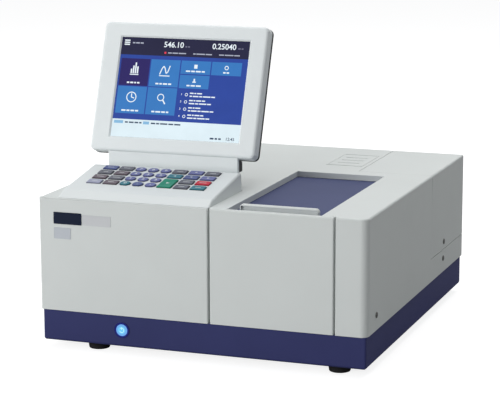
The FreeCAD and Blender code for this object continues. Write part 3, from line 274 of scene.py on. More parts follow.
consoleWhiteAndPaintedLight = surface("consoleWhiteAndPaintedLight", (0.665, 0.7, 0.7), 0.5, 0.2, 1500, 0.012, specular=0.25)
nodeFinishes = {"display_bezel": shellWhiteAndPaintedLight, "neck_cover": shellWhiteAndPaintedLight, "console_housing": consoleWhiteAndPaintedLight}
# each key colour gets a copy at 0.4 of its tone for the cap walls: painted shade on the cap sides
paintedShadeSkirtFinishes = {}
for word, colour in keyColours.items():
    name = "key" + word[4:].capitalize()
    finishes[word] = surface(name, colour, 0.5, 0.25, 1300, 0.03, specular=0.2)
    paintedShadeSkirtFinishes[word] = surface(name + "Skirt", [part * 0.4 for part in colour], 0.55, 0.25, 1300, 0.03,
                                  specular=0.15)
for node, piece in nodes.items():
    piece.data.materials.clear()
    piece.data.materials.append(nodeFinishes.get(node, finishes[slotOf[node]]))
print("finishes made:", len(finishes))


# camera, floor and lights

view = {"place": (0.974784, -2.746898, 0.767802), "yaw": 19.948, "pitch": 11.266, "roll": -0.133,
        "focal": 1914.365, "frameWidth": 500, "sensor": 36.0}
yaw, pitch, roll = (math.radians(view[word]) for word in ("yaw", "pitch", "roll"))
back = Vector((math.sin(yaw) * math.cos(pitch), -math.cos(yaw) * math.cos(pitch), math.sin(pitch)))
level = Vector((math.cos(yaw), math.sin(yaw), 0))
upright = back.cross(level)
right = math.cos(roll) * level + math.sin(roll) * upright
up = math.cos(roll) * upright - math.sin(roll) * level
camera = bpy.data.objects.new("camera", bpy.data.cameras.new("camera"))
camera.data.sensor_width = view["sensor"]
camera.data.lens = view["sensor"] * view["focal"] / view["frameWidth"]
camera.data.clip_end = 50
camera.matrix_world = Matrix((
    (right.x, up.x, back.x, view["place"][0]), (right.y, up.y, back.y, view["place"][1]),
    (right.z, up.z, back.z, view["place"][2]), (0, 0, 0, 1)))
scene.collection.objects.link(camera)
scene.camera = camera

studio = {"floorSize": 16, "floorTone": 0.42, "shadowTone": 0.4, "floorLift": 0.84, "sky": 0.28,
          "aim": (0, 0, 0.15)}
clearSelection()
bpy.ops.mesh.primitive_plane_add(size=studio["floorSize"], location=(0, 0, 0))
floor = named("floor")
floorFinish = bpy.data.materials.new("paleFloor")
floorFinish.use_nodes = True
tree = floorFinish.node_tree
tree.nodes.clear()
floorOut = tree.nodes.new("ShaderNodeOutputMaterial")
floorRays = tree.nodes.new("ShaderNodeLightPath")
plainFloor = tree.nodes.new("ShaderNodeBsdfDiffuse")
plainFloor.inputs["Color"].default_value = (*[studio["floorTone"]] * 3, 1)
seenFloor = tree.nodes.new("ShaderNodeBsdfDiffuse")
seenFloor.inputs["Color"].default_value = (*[studio["shadowTone"]] * 3, 1)
lift = tree.nodes.new("ShaderNodeEmission")
lift.inputs["Color"].default_value = (1, 1, 1, 1)
lift.inputs["Strength"].default_value = studio["floorLift"]
lifted = tree.nodes.new("ShaderNodeAddShader")
seen = tree.nodes.new("ShaderNodeMixShader")
tree.links.new(seenFloor.outputs[0], lifted.inputs[0])
tree.links.new(lift.outputs[0], lifted.inputs[1])
tree.links.new(floorRays.outputs["Is Camera Ray"], seen.inputs["Fac"])
tree.links.new(plainFloor.outputs[0], seen.inputs[1])
tree.links.new(lifted.outputs[0], seen.inputs[2])
tree.links.new(seen.outputs[0], floorOut.inputs["Surface"])
floor.data.materials.append(floorFinish)

world = bpy.data.worlds.new("studio")
scene.world = world
world.use_nodes = True
tree = world.node_tree
tree.nodes.clear()
worldOut = tree.nodes.new("ShaderNodeOutputWorld")
rays = tree.nodes.new("ShaderNodeLightPath")
soft = tree.nodes.new("ShaderNodeBackground")
soft.inputs["Color"].default_value = (0.95, 0.97, 1.0, 1)
soft.inputs["Strength"].default_value = studio["sky"]
white = tree.nodes.new("ShaderNodeBackground")
white.inputs["Color"].default_value = (1, 1, 1, 1)
white.inputs["Strength"].default_value = 1
backdrop = tree.nodes.new("ShaderNodeMixShader")
sight = rays.outputs["Is Camera Ray"]
for kind in ("Is Glossy Ray", "Is Transmission Ray"):
    either = tree.nodes.new("ShaderNodeMath")
    either.operation = "MAXIMUM"
    tree.links.new(sight, either.inputs[0])
    tree.links.new(rays.outputs[kind], either.inputs[1])
    sight = either.outputs["Value"]
tree.links.new(sight, backdrop.inputs["Fac"])
tree.links.new(soft.outputs["Background"], backdrop.inputs[1])
tree.links.new(white.outputs["Background"], backdrop.inputs[2])
tree.links.new(backdrop.outputs["Shader"], worldOut.inputs["Surface"])

lamps = {
    "keyLamp": {"place": (-1.6, -3.4, 1.0), "size": 2.4, "power": 88},
    "topLamp": {"place": (0.0, 1.1, 2.9), "size": 2.6, "power": 62},
    "leftLamp": {"place": (-3.2, -1.0, 1.2), "size": 2.0, "power": 26},
    "sideLamp": {"place": (3.2, 0.2, 0.8), "size": 2.0, "power": 3},
}
for name, lamp in lamps.items():
    light = bpy.data.lights.new(name, "AREA")
    light.size = lamp["size"]
    light.energy = lamp["power"]
    holder = bpy.data.objects.new(name, light)
    holder.location = lamp["place"]
    holder.rotation_mode = "QUATERNION"
    aim = Vector(studio["aim"]) - Vector(lamp["place"])
    holder.rotation_quaternion = aim.to_track_quat("-Z", "Y")
    scene.collection.objects.link(holder)
print("camera, floor and lights set")


# covers and housings: the frame's own shapes with every edge softened

softEdges = {
    "base_skirt": 0.8, "main_cover": 0.5, "left_front_panel": 0.7, "sample_front_panel": 0.7,
    "lamp_cover": 0.3, "console_housing": 0.4, "sample_lid": 0.5, "lid_handle": 0.7, "display_bezel": 0.6,
    "display_back_cover": 0.5, "neck_bracket": 0.6, "neck_cover": 0.5, "rear_panel": 0.3,
    "rubber_feet": 1.2, "sample_chamber": 0.5, "cell_holder": 0.5, "rear_connectors": 0.25,
    "fan_frame": 0.5, "lamp_house": 0.4,
}
panelRise = {"left_front_panel": 0.5, "sample_front_panel": 0.5}
reach = {"panelTop": 226, "topEdge": 227, "frontEdge": -274.9, "front": -274, "left": -249, "right": 249,
         "lampFront": 76, "tall": 50, "foot": 12.1, "side": 248, "end": 273, "cornerSide": 238,
         "cornerEnd": 264}


def onPanelTop(a, b):
    return min(a.z, b.z) > reach["topEdge"] and max(a.y, b.y) < reach["frontEdge"]


def onLeftCorner(a, b):
    return (max(a.x, b.x) < reach["left"] and max(a.y, b.y) < reach["front"]
            and abs(a.z - b.z) > reach["tall"])


def onLampSeam(a, b):
    return (max(a.y, b.y) < reach["lampFront"] and min(a.x, b.x) > reach["right"]
            and abs(a.z - b.z) > reach["tall"])


def onFootEdge(a, b):
    # the lower outline of the base, its rounded corners too
    across, along = min(abs(a.x), abs(b.x)), min(abs(a.y), abs(b.y))
    return max(a.z, b.z) < reach["foot"] and (
        across > reach["cornerSide"] and along > reach["cornerEnd"]
        or across > reach["side"] or along > reach["end"])


widerRounds = {
    "left_front_panel": ((1.6, 3, onPanelTop), (3, 5, onLeftCorner)),
    "sample_front_panel": ((1.6, 3, onPanelTop),),
    "lamp_cover": ((1.1, 3, onLampSeam),),
    "base_skirt": ((4, 4, onFootEdge),),
}
for node, width in softEdges.items():
    shell = copied(nodes[node], node + "_shell")
    shell.parent = None
    for word in list(shell.keys()):
        del shell[word]
    editAll(shell)
    bpy.ops.mesh.remove_doubles(threshold=0.00001)
    bpy.ops.mesh.dissolve_limited(angle_limit=math.radians(0.5))
    endEdit()
    if node in panelRise:  # closes the gap over the front panels
        editFaces(shell, lambda middle, normal: normal.z > 0.9 and middle.z > reach["panelTop"])
        bpy.ops.transform.translate(value=(0, 0, panelRise[node] * mm))
        endEdit()
    for wider, segments, chosen in widerRounds.get(node, ()):
        bevelEdges(shell, wider, segments, chosen)
    roundedAll(shell, width, 2)
    dressed(shell, bodyOf[node], slotOf[node], nodeFinishes.get(node))
    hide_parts(node)
print("housings softened:", len(softEdges))


# keypad: one cap of each kind, copied to every key, with its print

keypad = {
    "origin": (0, -254, 236.2), "slope": 9.5,
    "across": (-187.6, -161.6, -138.9, -118.8, -98.7, -76.0, -50.0, -24.0),
    "up": (100.7, 80.3, 59.9, 39.5), "tallUp": 49.7,
    "foot": -4.0, "flangeTop": -2.8, "step": 1.1, "top": 2.0, "flange": 1.1, "inset": 0.8, "dish": 0.2,
    "edge": 0.5, "upperEdge": 0.35, "dishRim": 0.9, "seat": 0.3,
    "figure": 6.2, "arrow": 2.6, "tallArrow": 3.4, "barWidth": 7, "barLength": 1.1, "legendLift": 0.04,
    "kinds": {"wide": (22.8, 14.5, 1.6), "oval": (16.4, 14.5, 6.6), "tall": (22.8, 34.9, 1.6)},
}
keypadFrame = (Matrix.Translation(Vector(keypad["origin"]) * mm)
               @ Matrix.Rotation(math.radians(keypad["slope"]), 4, "X"))


def keySkirt(kind):
    # the wall of a cap, dressed later in painted shade, and the flange that holds it under the panel
    width, length, corner = keypad["kinds"][kind]
    out = keypad["flange"]
    skirt = addBlock(kind + "Skirt", (-width / 2 - out, -length / 2 - out, keypad["foot"]),
                     (width / 2 + out, length / 2 + out, keypad["flangeTop"]))
    editFaces(skirt, lambda middle, normal: normal.z > 0.9)
    bpy.ops.mesh.inset(thickness=out * mm)
    bpy.ops.mesh.extrude_region_move(
        TRANSFORM_OT_translate={"value": (0, 0, (keypad["step"] - keypad["flangeTop"]) * mm)})
    endEdit()
    bevelEdges(skirt, corner, 8 if kind == "oval" else 3,
               lambda a, b: abs(a.z - b.z) > 1 and max(a.z, b.z) > keypad["step"] - 0.1)
    bevelEdges(skirt, keypad["upperEdge"], 2, lambda a, b: min(a.z, b.z) > keypad["step"] - 0.01)
    useOnly(skirt)
    bpy.ops.object.shade_smooth_by_angle(angle=math.radians(40))
    return skirt


def keyFace(kind):
    # the dished top of a cap, in the key's own colour, lighter than the painted shade on its wall
    width, length, corner = keypad["kinds"][kind]
    across, along = width / 2 - keypad["inset"], length / 2 - keypad["inset"]
    face = addBlock(kind + "Face", (-across, -along, keypad["step"] - keypad["seat"]),
                    (across, along, keypad["top"]))
    bevelEdges(face, corner - 0.5, 8 if kind == "oval" else 3, lambda a, b: abs(a.z - b.z) > 1)
    bevelEdges(face, keypad["edge"], 3, lambda a, b: min(a.z, b.z) > keypad["top"] - 0.01)
    editFaces(face, lambda middle, normal: middle.z > keypad["top"] - 0.01 and normal.z > 0.9)
    bpy.ops.mesh.inset(thickness=keypad["dishRim"] * mm)
    bpy.ops.transform.translate(value=(0, 0, -keypad["dish"] * mm))
    endEdit()
    useOnly(face)
    bpy.ops.object.shade_smooth_by_angle(angle=math.radians(40))
    return face


skirts = {kind: keySkirt(kind) for kind in keypad["kinds"]}
faces = {kind: keyFace(kind) for kind in keypad["kinds"]}


def addDigits(name, words, height):
    # numerals as a thin closed mesh in the XY plane, centred
    clearSelection()
    bpy.ops.object.text_add()
    item = bpy.context.object
    item.data.body = words
    item.data.size = height / 0.7 * mm
    item.data.extrude = 0.05 * mm
    item.data.offset = 0.02 * height * mm  # a little bolder
    item.data.align_x = "CENTER"
    item.data.align_y = "CENTER"
    item.data.resolution_u = 4
    bpy.ops.object.convert(target="MESH")
    piece = named(name)
    editAll(piece)
    bpy.ops.mesh.remove_doubles(threshold=0.000002)
    endEdit()
    return settled(piece)


def addArrow(name, size, turn):
    clearSelection()
    bpy.ops.mesh.primitive_cylinder_add(vertices=3, radius=size * mm, depth=0.1 * mm,
                                        rotation=(0, 0, math.radians(turn)))
    return roundedAll(settled(named(name)), 0.04, 2)


def addBar(name, width, length):
    low, high = (-width / 2, -length / 2, -0.05), (width / 2, length / 2, 0.05)
    return roundedAll(addBlock(name, low, high), 0.04, 2)


prints = {
    (1, 3): "7", (1, 4): "8", (1, 5): "9", (2, 3): "4", (2, 4): "5", (2, 5): "6", (3, 3): "1", (3, 4): "2",
    (3, 5): "3", (4, 3): "0", (4, 4): ".", (4, 5): "-", (1, 7): 0, (2, 6): 90, (2, 7): 180, (2, 8): -90,
    (3, 6): -90,
}
legendHeight = keypad["top"] - keypad["dish"] + keypad["legendLift"]
for row in range(1, 5):
    for column in range(1, 9):
        node = "key_row%d_column%d" % (row, column)
        if node not in nodes:
            continue
        kind = "tall" if (row, column) == (3, 6) else "oval" if column in (3, 4, 5) else "wide"
        spot = (keypad["across"][column - 1], keypad["tallUp"] if kind == "tall" else keypad["up"][row - 1])
        place = keypadFrame @ Matrix.Translation(Vector((spot[0], spot[1], 0)) * mm)
        skirt = placed(copied(skirts[kind], "skirt_row%d_column%d" % (row, column)), place)
        # painted shade: the wall takes the darker copy of the key colour
        dressed(skirt, node, slotOf[node], paintedShadeSkirtFinishes[slotOf[node]])
        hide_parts(node)
        face = placed(copied(faces[kind], "face_row%d_column%d" % (row, column)), place)
        dressed(face, node, slotOf[node])
        mark = prints.get((row, column))
        name = "print_row%d_column%d" % (row, column)
        if isinstance(mark, str):
            legend = addDigits(name, mark, keypad["figure"])
        elif mark is not None:
            legend = addArrow(name, keypad["tallArrow" if kind == "tall" else "arrow"], mark)
        else:
            legend = addBar(name, keypad["barWidth"] + (row * 3 + column * 5) % 5, keypad["barLength"])
        placed(legend, keypadFrame @ Matrix.Translation(Vector((*spot, legendHeight)) * mm))
        dressed(legend, node, "white_plastic", finishes["white_plastic"])
for piece in list(skirts.values()) + list(faces.values()):
    bpy.data.objects.remove(piece)
print("keypad made")


# screen: a plain lit menu of tiles, signs and numerals, in the display's own frame

display = {"origin": (-107.2, -116.685, 272.7), "tilt": 20, "glass": 2.5,
           "left": -102.8, "right": 105.8, "foot": 22.8, "top": 178.2}
displayFrame = (Matrix.Translation(Vector(display["origin"]) * mm)
                @ Matrix.Rotation(math.radians(-display["tilt"]), 4, "X"))
screenColours = {
    "ground": (0.022, 0.06, 0.33), "header": (0.016, 0.016, 0.05), "tile": (0.036, 0.19, 0.52),
    "darkTile": (0.022, 0.014, 0.12), "strip": (0.74, 0.87, 0.93), "sign": (0.85, 0.93, 1.0),
    "ink": (0.04, 0.07, 0.13), "label": (0.25, 0.5, 0.75), "pale": (0.42, 0.45, 0.55),
    "warn": (0.8, 0.05, 0.09), "dim": (0.16, 0.16, 0.24),
}
screenFinishes = {word: lit("screen" + word.capitalize(), colour) for word, colour in screenColours.items()}
layers = {"ground": 0.12, "header": 0.2, "tile": 0.2, "darkTile": 0.2, "strip": 0.2, "sign": 0.3, "ink": 0.3,
          "label": 0.26, "pale": 0.28, "warn": 0.3, "dim": 0.28}
shapes = {word: [] for word in screenColours}


def onScreen(word, left, right, low, high, turn=0):
    # a flat plate of one colour, in millimetres from the screen's lower left corner
    near, far = display["glass"] - layers[word], display["glass"] - 0.02
    shapes[word].append(addBlock("plate", (display["left"] + left, near, display["foot"] + low),
                                 (display["left"] + right, far, display["foot"] + high), turn))


def stroke(word, start, end, width):
    # a straight line between two points of the screen
    length = math.hypot(end[0] - start[0], end[1] - start[1])
    turn = -math.degrees(math.atan2(end[1] - start[1], end[0] - start[0]))
    across, up = (start[0] + end[0]) / 2, (start[1] + end[1]) / 2
    onScreen(word, across - length / 2, across + length / 2, up - width / 2, up + width / 2, turn)


def ring(word, across, up, radius, width):
    clearSelection()
    bpy.ops.mesh.primitive_torus_add(major_radius=radius * mm, minor_radius=width / 2 * mm,
                                     major_segments=28, minor_segments=6,
                                     rotation=(math.radians(90), 0, 0))
    piece = settled(named("ring"))
    piece.scale = (1, layers[word] / width, 1)
    piece.location = Vector((display["left"] + across, display["glass"] - layers[word] / 2,
                             display["foot"] + up)) * mm
    shapes[word].append(settled(piece))


def numerals(word, words, across, up, height):
    piece = addDigits("numerals", words, height)
    near = display["glass"] - layers[word] + 0.05
    spot = Vector((display["left"] + across, near, display["foot"] + up)) * mm
    upright = Matrix.Rotation(math.radians(90), 4, "X")
    shapes[word].append(placed(piece, Matrix.Translation(spot) @ upright))


def lines(word, left, up, lengths, height):
    # short strokes in a row, in place of words
    across = left
    for length in lengths:
        onScreen(word, across, across + length, up - height / 2, up + height / 2)
        across += length + height * 0.7


layout = {"headerLow": 128, "stripHigh": 27.5, "nameHigh": 2.3, "smallNameHigh": 2.2}
screenWide = display["right"] - display["left"]
screenHigh = display["top"] - display["foot"]
onScreen("ground", 0, screenWide, 0, screenHigh)
onScreen("header", 0, screenWide, layout["headerLow"], screenHigh)
onScreen("strip", 0, screenWide, 0, layout["stripHigh"])
tiles = {"wide": 47.9, "high": 42.2, "small": 20.6, "left": 2.6, "top": 122.2, "across": 49.7, "down": 43.5,
         "smallDown": 22.2}


def tile(word, column, up, high, marks, markHeight):
    # a tile with a row of strokes centred near its foot; returns its middle
    left = tiles["left"] + column * tiles["across"]
    onScreen(word, left, left + tiles["wide"], up - high, up)
    run = sum(marks) + markHeight * 0.7 * (len(marks) - 1)
    lines("sign", left + (tiles["wide"] - run) / 2, up - high + markHeight * 2, marks, markHeight)
    return left + tiles["wide"] / 2


lowTop = tiles["top"] - tiles["down"]
midTop = tiles["top"] - tiles["smallDown"]
large, small = layout["nameHigh"], layout["smallNameHigh"]
barMiddle = tile("darkTile", 0, tiles["top"], tiles["high"], (4, 5, 3, 4), large)
curveMiddle = tile("tile", 1, tiles["top"], tiles["high"], (5, 4, 7, 5), large)
clockMiddle = tile("tile", 0, lowTop, tiles["high"], (7, 5, 6, 5), large)
lensMiddle = tile("tile", 1, lowTop, tiles["high"], (5, 8, 6, 4), large)
sheetMiddle = tile("tile", 2, tiles["top"], tiles["small"], (7, 6, 8, 5), small)
cogMiddle = tile("tile", 3, tiles["top"], tiles["small"], (4, 4), small)
flaskMiddle = tile("tile", 2, midTop, tiles["small"], (5, 7, 8), small)

signs = {
    # plates from the tile's middle: left, right, low, high
    "bars": ((-6.4, -4.2, 99, 106), (-3, -0.8, 99, 111), (0.4, 2.6, 99, 116), (3.8, 6, 99, 110),
             (-7.4, 7, 96.6, 98)),
    "curveFoot": (-8.5, 8.5, 96.4, 97.8),
    "sheet": (-2.6, 2.6, 110.5, 116.5),
    "flask": ((-2.8, 2.8, 88.6, 90.4), (-1.2, 1.2, 90, 94.6)),
    # lines through points, and rings by their place, radius and width
    "curve": ((-8, 99), (-4.5, 109), (-2, 112), (0, 109), (2.5, 101), (5, 103), (8, 113)),
    "clock": (62, 7.6, 1.8), "hands": ((0, 67.6), (4.6, 60.5)),
    "lens": (-1.5, 63.5, 5, 1.7), "lensGrip": ((2, 60), (6.5, 53.5)),
    "cog": (113.5, 2.7, 1.5),
}
for left, right, low, high in signs["bars"]:
    onScreen("sign", barMiddle + left, barMiddle + right, low, high)
for begin, finish in zip(signs["curve"], signs["curve"][1:]):
    stroke("sign", (curveMiddle + begin[0], begin[1]), (curveMiddle + finish[0], finish[1]), 1.6)
left, right, low, high = signs["curveFoot"]
onScreen("sign", curveMiddle + left, curveMiddle + right, low, high)
ring("sign", clockMiddle, *signs["clock"])
for across, up in signs["hands"]:
    stroke("sign", (clockMiddle, signs["clock"][0]), (clockMiddle + across, up), 1.5)
across, up, radius, thick = signs["lens"]
ring("sign", lensMiddle + across, up, radius, thick)
begin, finish = signs["lensGrip"]
stroke("sign", (lensMiddle + begin[0], begin[1]), (lensMiddle + finish[0], finish[1]), 2)
ring("sign", cogMiddle, *signs["cog"])
left, right, low, high = signs["sheet"]
onScreen("sign", sheetMiddle + left, sheetMiddle + right, low, high)
for left, right, low, high in signs["flask"]:
    onScreen("sign", flaskMiddle + left, flaskMiddle + right, low, high)

listing = {"left": 6, "top": 71, "step": 11.2, "rows": 4, "figure": 3, "figureDrop": 1,
           "ring": 8, "ringDrop": 1.2, "ringRadius": 2, "ringWidth": 0.9,
           "words": 13.5, "firstRise": 1.2, "secondDrop": 3.4, "high": 1.8}
listLeft = tiles["left"] + 2 * tiles["across"] + listing["left"]
for row in range(listing["rows"]):
    up = listing["top"] - row * listing["step"]
    wordsLeft = listLeft + listing["words"]
    numerals("sign", str(row + 1), listLeft, up - listing["figureDrop"], listing["figure"])
    ring("sign", listLeft + listing["ring"], up - listing["ringDrop"], listing["ringRadius"],
         listing["ringWidth"])
    lines("sign", wordsLeft, up + listing["firstRise"], (6, 3, 8, 5)[: 3 + row % 2], listing["high"])
    lines("sign", wordsLeft, up - listing["secondDrop"], (4, 9, 5, 12, 6)[row % 2:], listing["high"])

header = {"menu": (4.6, 13.4), "menuBars": 3, "menuLow": 143, "menuStep": 3.2, "menuThick": 1.9,
          "title": (18, 146.8), "high": 2, "figure": 8.4, "figureUp": 145.5, "unitUp": 143.6,
          "values": (("546.10", 86, 105, (3, 3)), ("0.25040", 168, 190.5, (4, 3))),
          "warning": (72, 75, 131.5, 134.5), "stateUp": 133, "stateHigh": 1.7,
          "states": ((78, (6, 9, 12)), (119, (4, 14, 10)), (161, (8, 14, 9)))}
for bar in range(header["menuBars"]):
    low = header["menuLow"] + bar * header["menuStep"]
    onScreen("sign", *header["menu"], low, low + header["menuThick"])
lines("pale", *header["title"], (4, 6, 5), header["high"])
for figures, figureAcross, unitLeft, lengths in header["values"]:
    numerals("sign", figures, figureAcross, header["figureUp"], header["figure"])
    lines("dim", unitLeft, header["unitUp"], lengths, header["high"])
onScreen("warn", *header["warning"])
for left, lengths in header["states"]:
    lines("pale", left, header["stateUp"], lengths, header["stateHigh"])

footer = {"labelLow": 20.7, "labelHigh": 25.2, "lineUp": 22.8, "high": 2.2,
          "groups": ((3, 18, 21, (5, 8, 6, 4)), (51, 61, 64, (7, 5, 12, 8, 10))),
          "date": (162, 4.6), "dateHigh": 2.6, "time": (194, 4.8), "timeHigh": 4.6}
for left, right, start, lengths in footer["groups"]:
    onScreen("label", left, right, footer["labelLow"], footer["labelHigh"])
    lines("ink", start, footer["lineUp"], lengths, footer["high"])
lines("ink", *footer["date"], (6, 4, 4), footer["dateHigh"])
numerals("ink", "12:45", *footer["time"], footer["timeHigh"])
for word, pieces in shapes.items():
    sheetPiece = placed(joined("screen_" + word, pieces), displayFrame)
    dressed(sheetPiece, "display", "screen_blue", screenFinishes[word])
print("screen drawn")


# black strip where the back cover meets the rim of the display's head

strip = {"half": 133.75, "low": 0, "high": 201.7, "near": 18.2, "far": 23.3, "proud": 0.5, "corner": 8.3,
         "wall": 6, "edge": 0.3}
outer = strip["half"] + strip["proud"]
band = addBlock("display_strip", (-outer, strip["near"], strip["low"] - strip["proud"]),
                (outer, strip["far"], strip["high"] + strip["proud"]))
bevelEdges(band, strip["corner"], 6, lambda a, b: abs(a.y - b.y) > 1)
editFaces(band, lambda middle, normal: abs(normal.y) > 0.9)
bpy.ops.mesh.inset(thickness=strip["wall"] * mm)
bpy.ops.mesh.bridge_edge_loops()
endEdit()
placed(roundedAll(band, strip["edge"], 2), displayFrame)
dressed(band, "display", "cover_black")
print("display strip made")


# power button: a ring, a flat halo round it that glows on the cabinet as painted glow, a lit lens with a
# brighter core, and a standby sign

button = {"centre": (-122, 37.2), "front": -274.65,
          "radius": 9.8, "length": 4.0, "rimTop": -0.2, "gap": 0.3, "recess": 0.5,
          "collar": 10.95, "haloWidth": 0.75, "haloFlat": 0.35, "haloUp": -0.4,
          "lens": 8.7, "lensFoot": -1.2, "lensTop": -0.35,
          "core": 6.2, "coreRise": 0.12, "coreMargin": 0.6, "coreFoot": -0.5, "coreTop": -0.15,
          "arc": 3.4, "arcTurn": 280, "arcStart": 130, "arcUp": -0.1, "stroke": 0.8, "raised": 0.25,
          "stem": ((-0.45, 0.7, -0.22), (0.45, 4.4, 0.02))}
buttonPlace = Vector((button["centre"][0], button["front"], button["centre"][1])) * mm
buttonFrame = Matrix.Translation(buttonPlace) @ Matrix.Rotation(math.radians(90), 4, "X")
rim = addDisc("power_rim", button["radius"], -button["length"], button["rimTop"], segments=64)
editFaces(rim, lambda middle, normal: normal.z > 0.9)
bpy.ops.mesh.inset(thickness=(button["radius"] - button["lens"] - button["gap"]) * mm)
bpy.ops.transform.translate(value=(0, 0, -button["recess"] * mm))
endEdit()
placed(roundedAll(rim, 0.2, 3), buttonFrame)
dressed(rim, "button", "button_light", lit("buttonRim", (0.012, 0.02, 0.3), 0.8))
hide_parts("power_button")
# painted glow: a flat ring on the cabinet that emits dark blue light round the button
clearSelection()
bpy.ops.mesh.primitive_torus_add(major_radius=button["collar"] * mm, minor_radius=button["haloWidth"] * mm,
                                 major_segments=48, minor_segments=10)
halo = named("power_halo")
halo.scale = (1, 1, button["haloFlat"])
halo.location = (0, 0, button["haloUp"] * mm)
placed(settled(halo), buttonFrame)
bpy.ops.object.shade_smooth()
dressed(halo, "cabinet", "base_blue", lit("buttonHaloPaintedGlow", (0.012, 0.016, 0.16), 0.8))
lens = addDisc("power_lens", button["lens"], button["lensFoot"], button["lensTop"], segments=64)
editFaces(lens, lambda middle, normal: normal.z > 0.9)
bpy.ops.mesh.inset(thickness=(button["lens"] - button["core"]) * mm)
bpy.ops.transform.translate(value=(0, 0, button["coreRise"] * mm))
endEdit()
placed(roundedAll(lens, 0.3, 3, 12), buttonFrame)
dressed(lens, "button", "button_light", lit("buttonLens", (0.16, 0.42, 0.83), 1.0))
core = addDisc("power_core", button["core"] - button["coreMargin"], button["coreFoot"], button["coreTop"],
               segments=48)
placed(roundedAll(core, 0.1, 2), buttonFrame)
dressed(core, "button", "button_light", lit("buttonCore", (0.17, 0.62, 0.95), 1.0))
clearSelection()
bpy.ops.mesh.primitive_plane_add(size=1, rotation=(math.radians(90), 0, 0))
arc = named("arc")
arc.scale = (button["stroke"] * mm, button["raised"] * mm, 1)
settled(arc)
arc.location = (button["arc"] * mm, 0, button["arcUp"] * mm)
settled(arc)
editAll(arc)
bpy.ops.mesh.spin(steps=24, angle=math.radians(button["arcTurn"]), center=(0, 0, 0), axis=(0, 0, 1))
bpy.ops.mesh.select_all(action="SELECT")
bpy.ops.mesh.remove_doubles(threshold=0.000001)
endEdit()
placed(arc, Matrix.Rotation(math.radians(button["arcStart"]), 4, "Z"))
stem = addBlock("stem", *button["stem"])
sign = joined("power_sign", [arc, stem])
editAll(sign)
bpy.ops.mesh.normals_make_consistent(inside=False)
endEdit()
placed(sign, buttonFrame)
dressed(sign, "button", "button_light", lit("buttonSign", (0.62, 0.97, 1.0), 1.0))
print("power button made")


# bare plates on the front, and a low raised frame on the top

panelFace = -275.0
plateForm = {"corner": 0.8, "rim": 0.7, "sunk": 0.25, "edge": 0.1, "bedded": 0.1}
plates = {
    "navy_plate": {"low": (-227, 189.1), "high": (-182.7, 206.6), "thick": 0.9, "finish": "base_blue"},
    "pale_plate": {"low": (-181.6, 189.4), "high": (-136.7, 204.8), "thick": 0.6, "finish": "panel_grey"},
    "square_plate": {"low": (-226.9, 167.0), "high": (-200.3, 183.8), "thick": 0.5, "finish": "panel_grey"},
}
plateFinishes = {
    "navy_plate": surface("plateNavy", (0.008, 0.013, 0.032), 0.5, 0.1, 700, 0.05, specular=0.08),
    "pale_plate": surface("platePale", (0.545, 0.56, 0.575), 0.4, 0.15, 900, 0.03, specular=0.25),
    "square_plate": surface("plateGrey", (0.48, 0.51, 0.55), 0.4, 0.15, 900, 0.03, specular=0.25),
}
for name, plate in plates.items():
    piece = addBlock(name, (plate["low"][0], panelFace - plate["thick"], plate["low"][1]),
                     (plate["high"][0], panelFace + plateForm["bedded"], plate["high"][1]))
    bevelEdges(piece, plateForm["corner"], 3, lambda a, b: abs(a.y - b.y) > 0.2)
    editFaces(piece, lambda middle, normal: normal.y < -0.9)
    bpy.ops.mesh.inset(thickness=plateForm["rim"] * mm)
    bpy.ops.transform.translate(value=(0, plateForm["sunk"] * mm, 0))
    endEdit()
    roundedAll(piece, plateForm["edge"], 2)
    dressed(piece, "cabinet", plate["finish"], plateFinishes[name])

border = {"low": (64, 116), "high": (124, 218), "bar": 3.2, "raised": 0.6, "sunk": 0.5, "top": 227.4,
          "ribs": 3, "firstRib": 24, "pitch": 24, "ribInset": 12, "ribWidth": 6, "edge": 0.35}
low, high, bar = border["low"], border["high"], border["bar"]
spans = [(low[0], high[0], low[1], low[1] + bar), (low[0], high[0], high[1] - bar, high[1]),
         (low[0], low[0] + bar, low[1] + bar, high[1] - bar),
         (high[0] - bar, high[0], low[1] + bar, high[1] - bar)]
for place in range(border["ribs"]):
    front = low[1] + border["firstRib"] + place * border["pitch"]
    spans.append((low[0] + border["ribInset"], high[0] - border["ribInset"],
                  front, front + border["ribWidth"]))
pieces = []
for left, right, front, rear in spans:
    rib = addBlock("rib", (left, front, border["top"] - border["sunk"]),
                   (right, rear, border["top"] + border["raised"]))
    pieces.append(roundedAll(rib, border["edge"], 3))
dressed(joined("top_border", pieces), "cabinet", "white_plastic")
print("plates and ribs made")


# screws with a cross recess

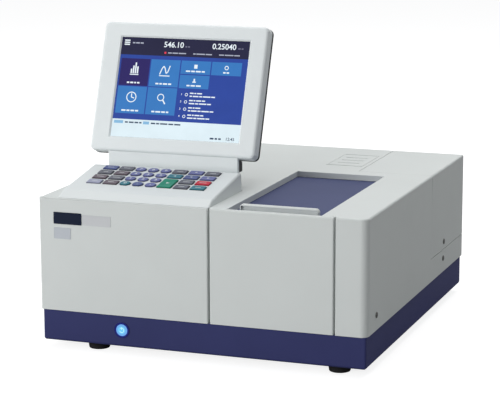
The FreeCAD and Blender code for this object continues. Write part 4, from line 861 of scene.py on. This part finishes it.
screw = {"head": 4.4, "high": 1.2, "shank": 2.0, "length": 8.0, "slot": 0.9, "reach": 2.3, "deep": 0.9,
         "edge": 0.55, "side": 250, "sidePlaces": ((-229, 81.5), (149, 81.5), (152, 108)), "sideTurn": 20,
         "rear": 271, "rearAcross": (-238, -20, 130, 238), "rearUp": (68, 216), "rearScale": 0.8}
head = addDisc("head", screw["head"], 0, screw["high"], segments=40)
bevelEdges(head, screw["edge"], 3, lambda a, b: min(a.z, b.z) > screw["high"] - 0.01)
halfSlot = screw["slot"] / 2
for name, half in (("across", (screw["reach"], halfSlot)), ("along", (halfSlot, screw["reach"]))):
    tool = addBlock(name, (-half[0], -half[1], screw["high"] - screw["deep"]), (half[0], half[1], 3))
    useOnly(head)
    recess = head.modifiers.new("Recess", "BOOLEAN")
    recess.operation = "DIFFERENCE"
    recess.solver = "EXACT"
    recess.object = tool
    bpy.ops.object.modifier_apply(modifier="Recess")
    bpy.data.objects.remove(tool)
bpy.ops.object.shade_smooth_by_angle(angle=math.radians(35))
shank = addDisc("shank", screw["shank"], -screw["length"], 0.05, segments=24)
oneScrew = joined("screw", [head, shank])
pieces = []
for place, (along, up) in enumerate(screw["sidePlaces"]):
    spot = Matrix.Translation(Vector((screw["side"], along, up)) * mm)
    turned = (Matrix.Rotation(math.radians(90), 4, "Y")
              @ Matrix.Rotation(math.radians(screw["sideTurn"] * place), 4, "Z"))
    pieces.append(placed(copied(oneScrew, "side_screw"), spot @ turned))
sideScrews = joined("side_screws", pieces)
dressed(sideScrews, "cabinet", "screw_steel")
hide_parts("cover_screws")
pieces = []
for across in screw["rearAcross"]:
    for up in screw["rearUp"]:
        spot = Matrix.Translation(Vector((across, screw["rear"], up)) * mm)
        turned = Matrix.Rotation(math.radians(-90), 4, "X") @ Matrix.Scale(screw["rearScale"], 4)
        pieces.append(placed(copied(oneScrew, "rear_screw"), spot @ turned))
dressed(joined("rear_screws", pieces), "cabinet", "screw_steel")
bpy.data.objects.remove(oneScrew)
print("screws made")
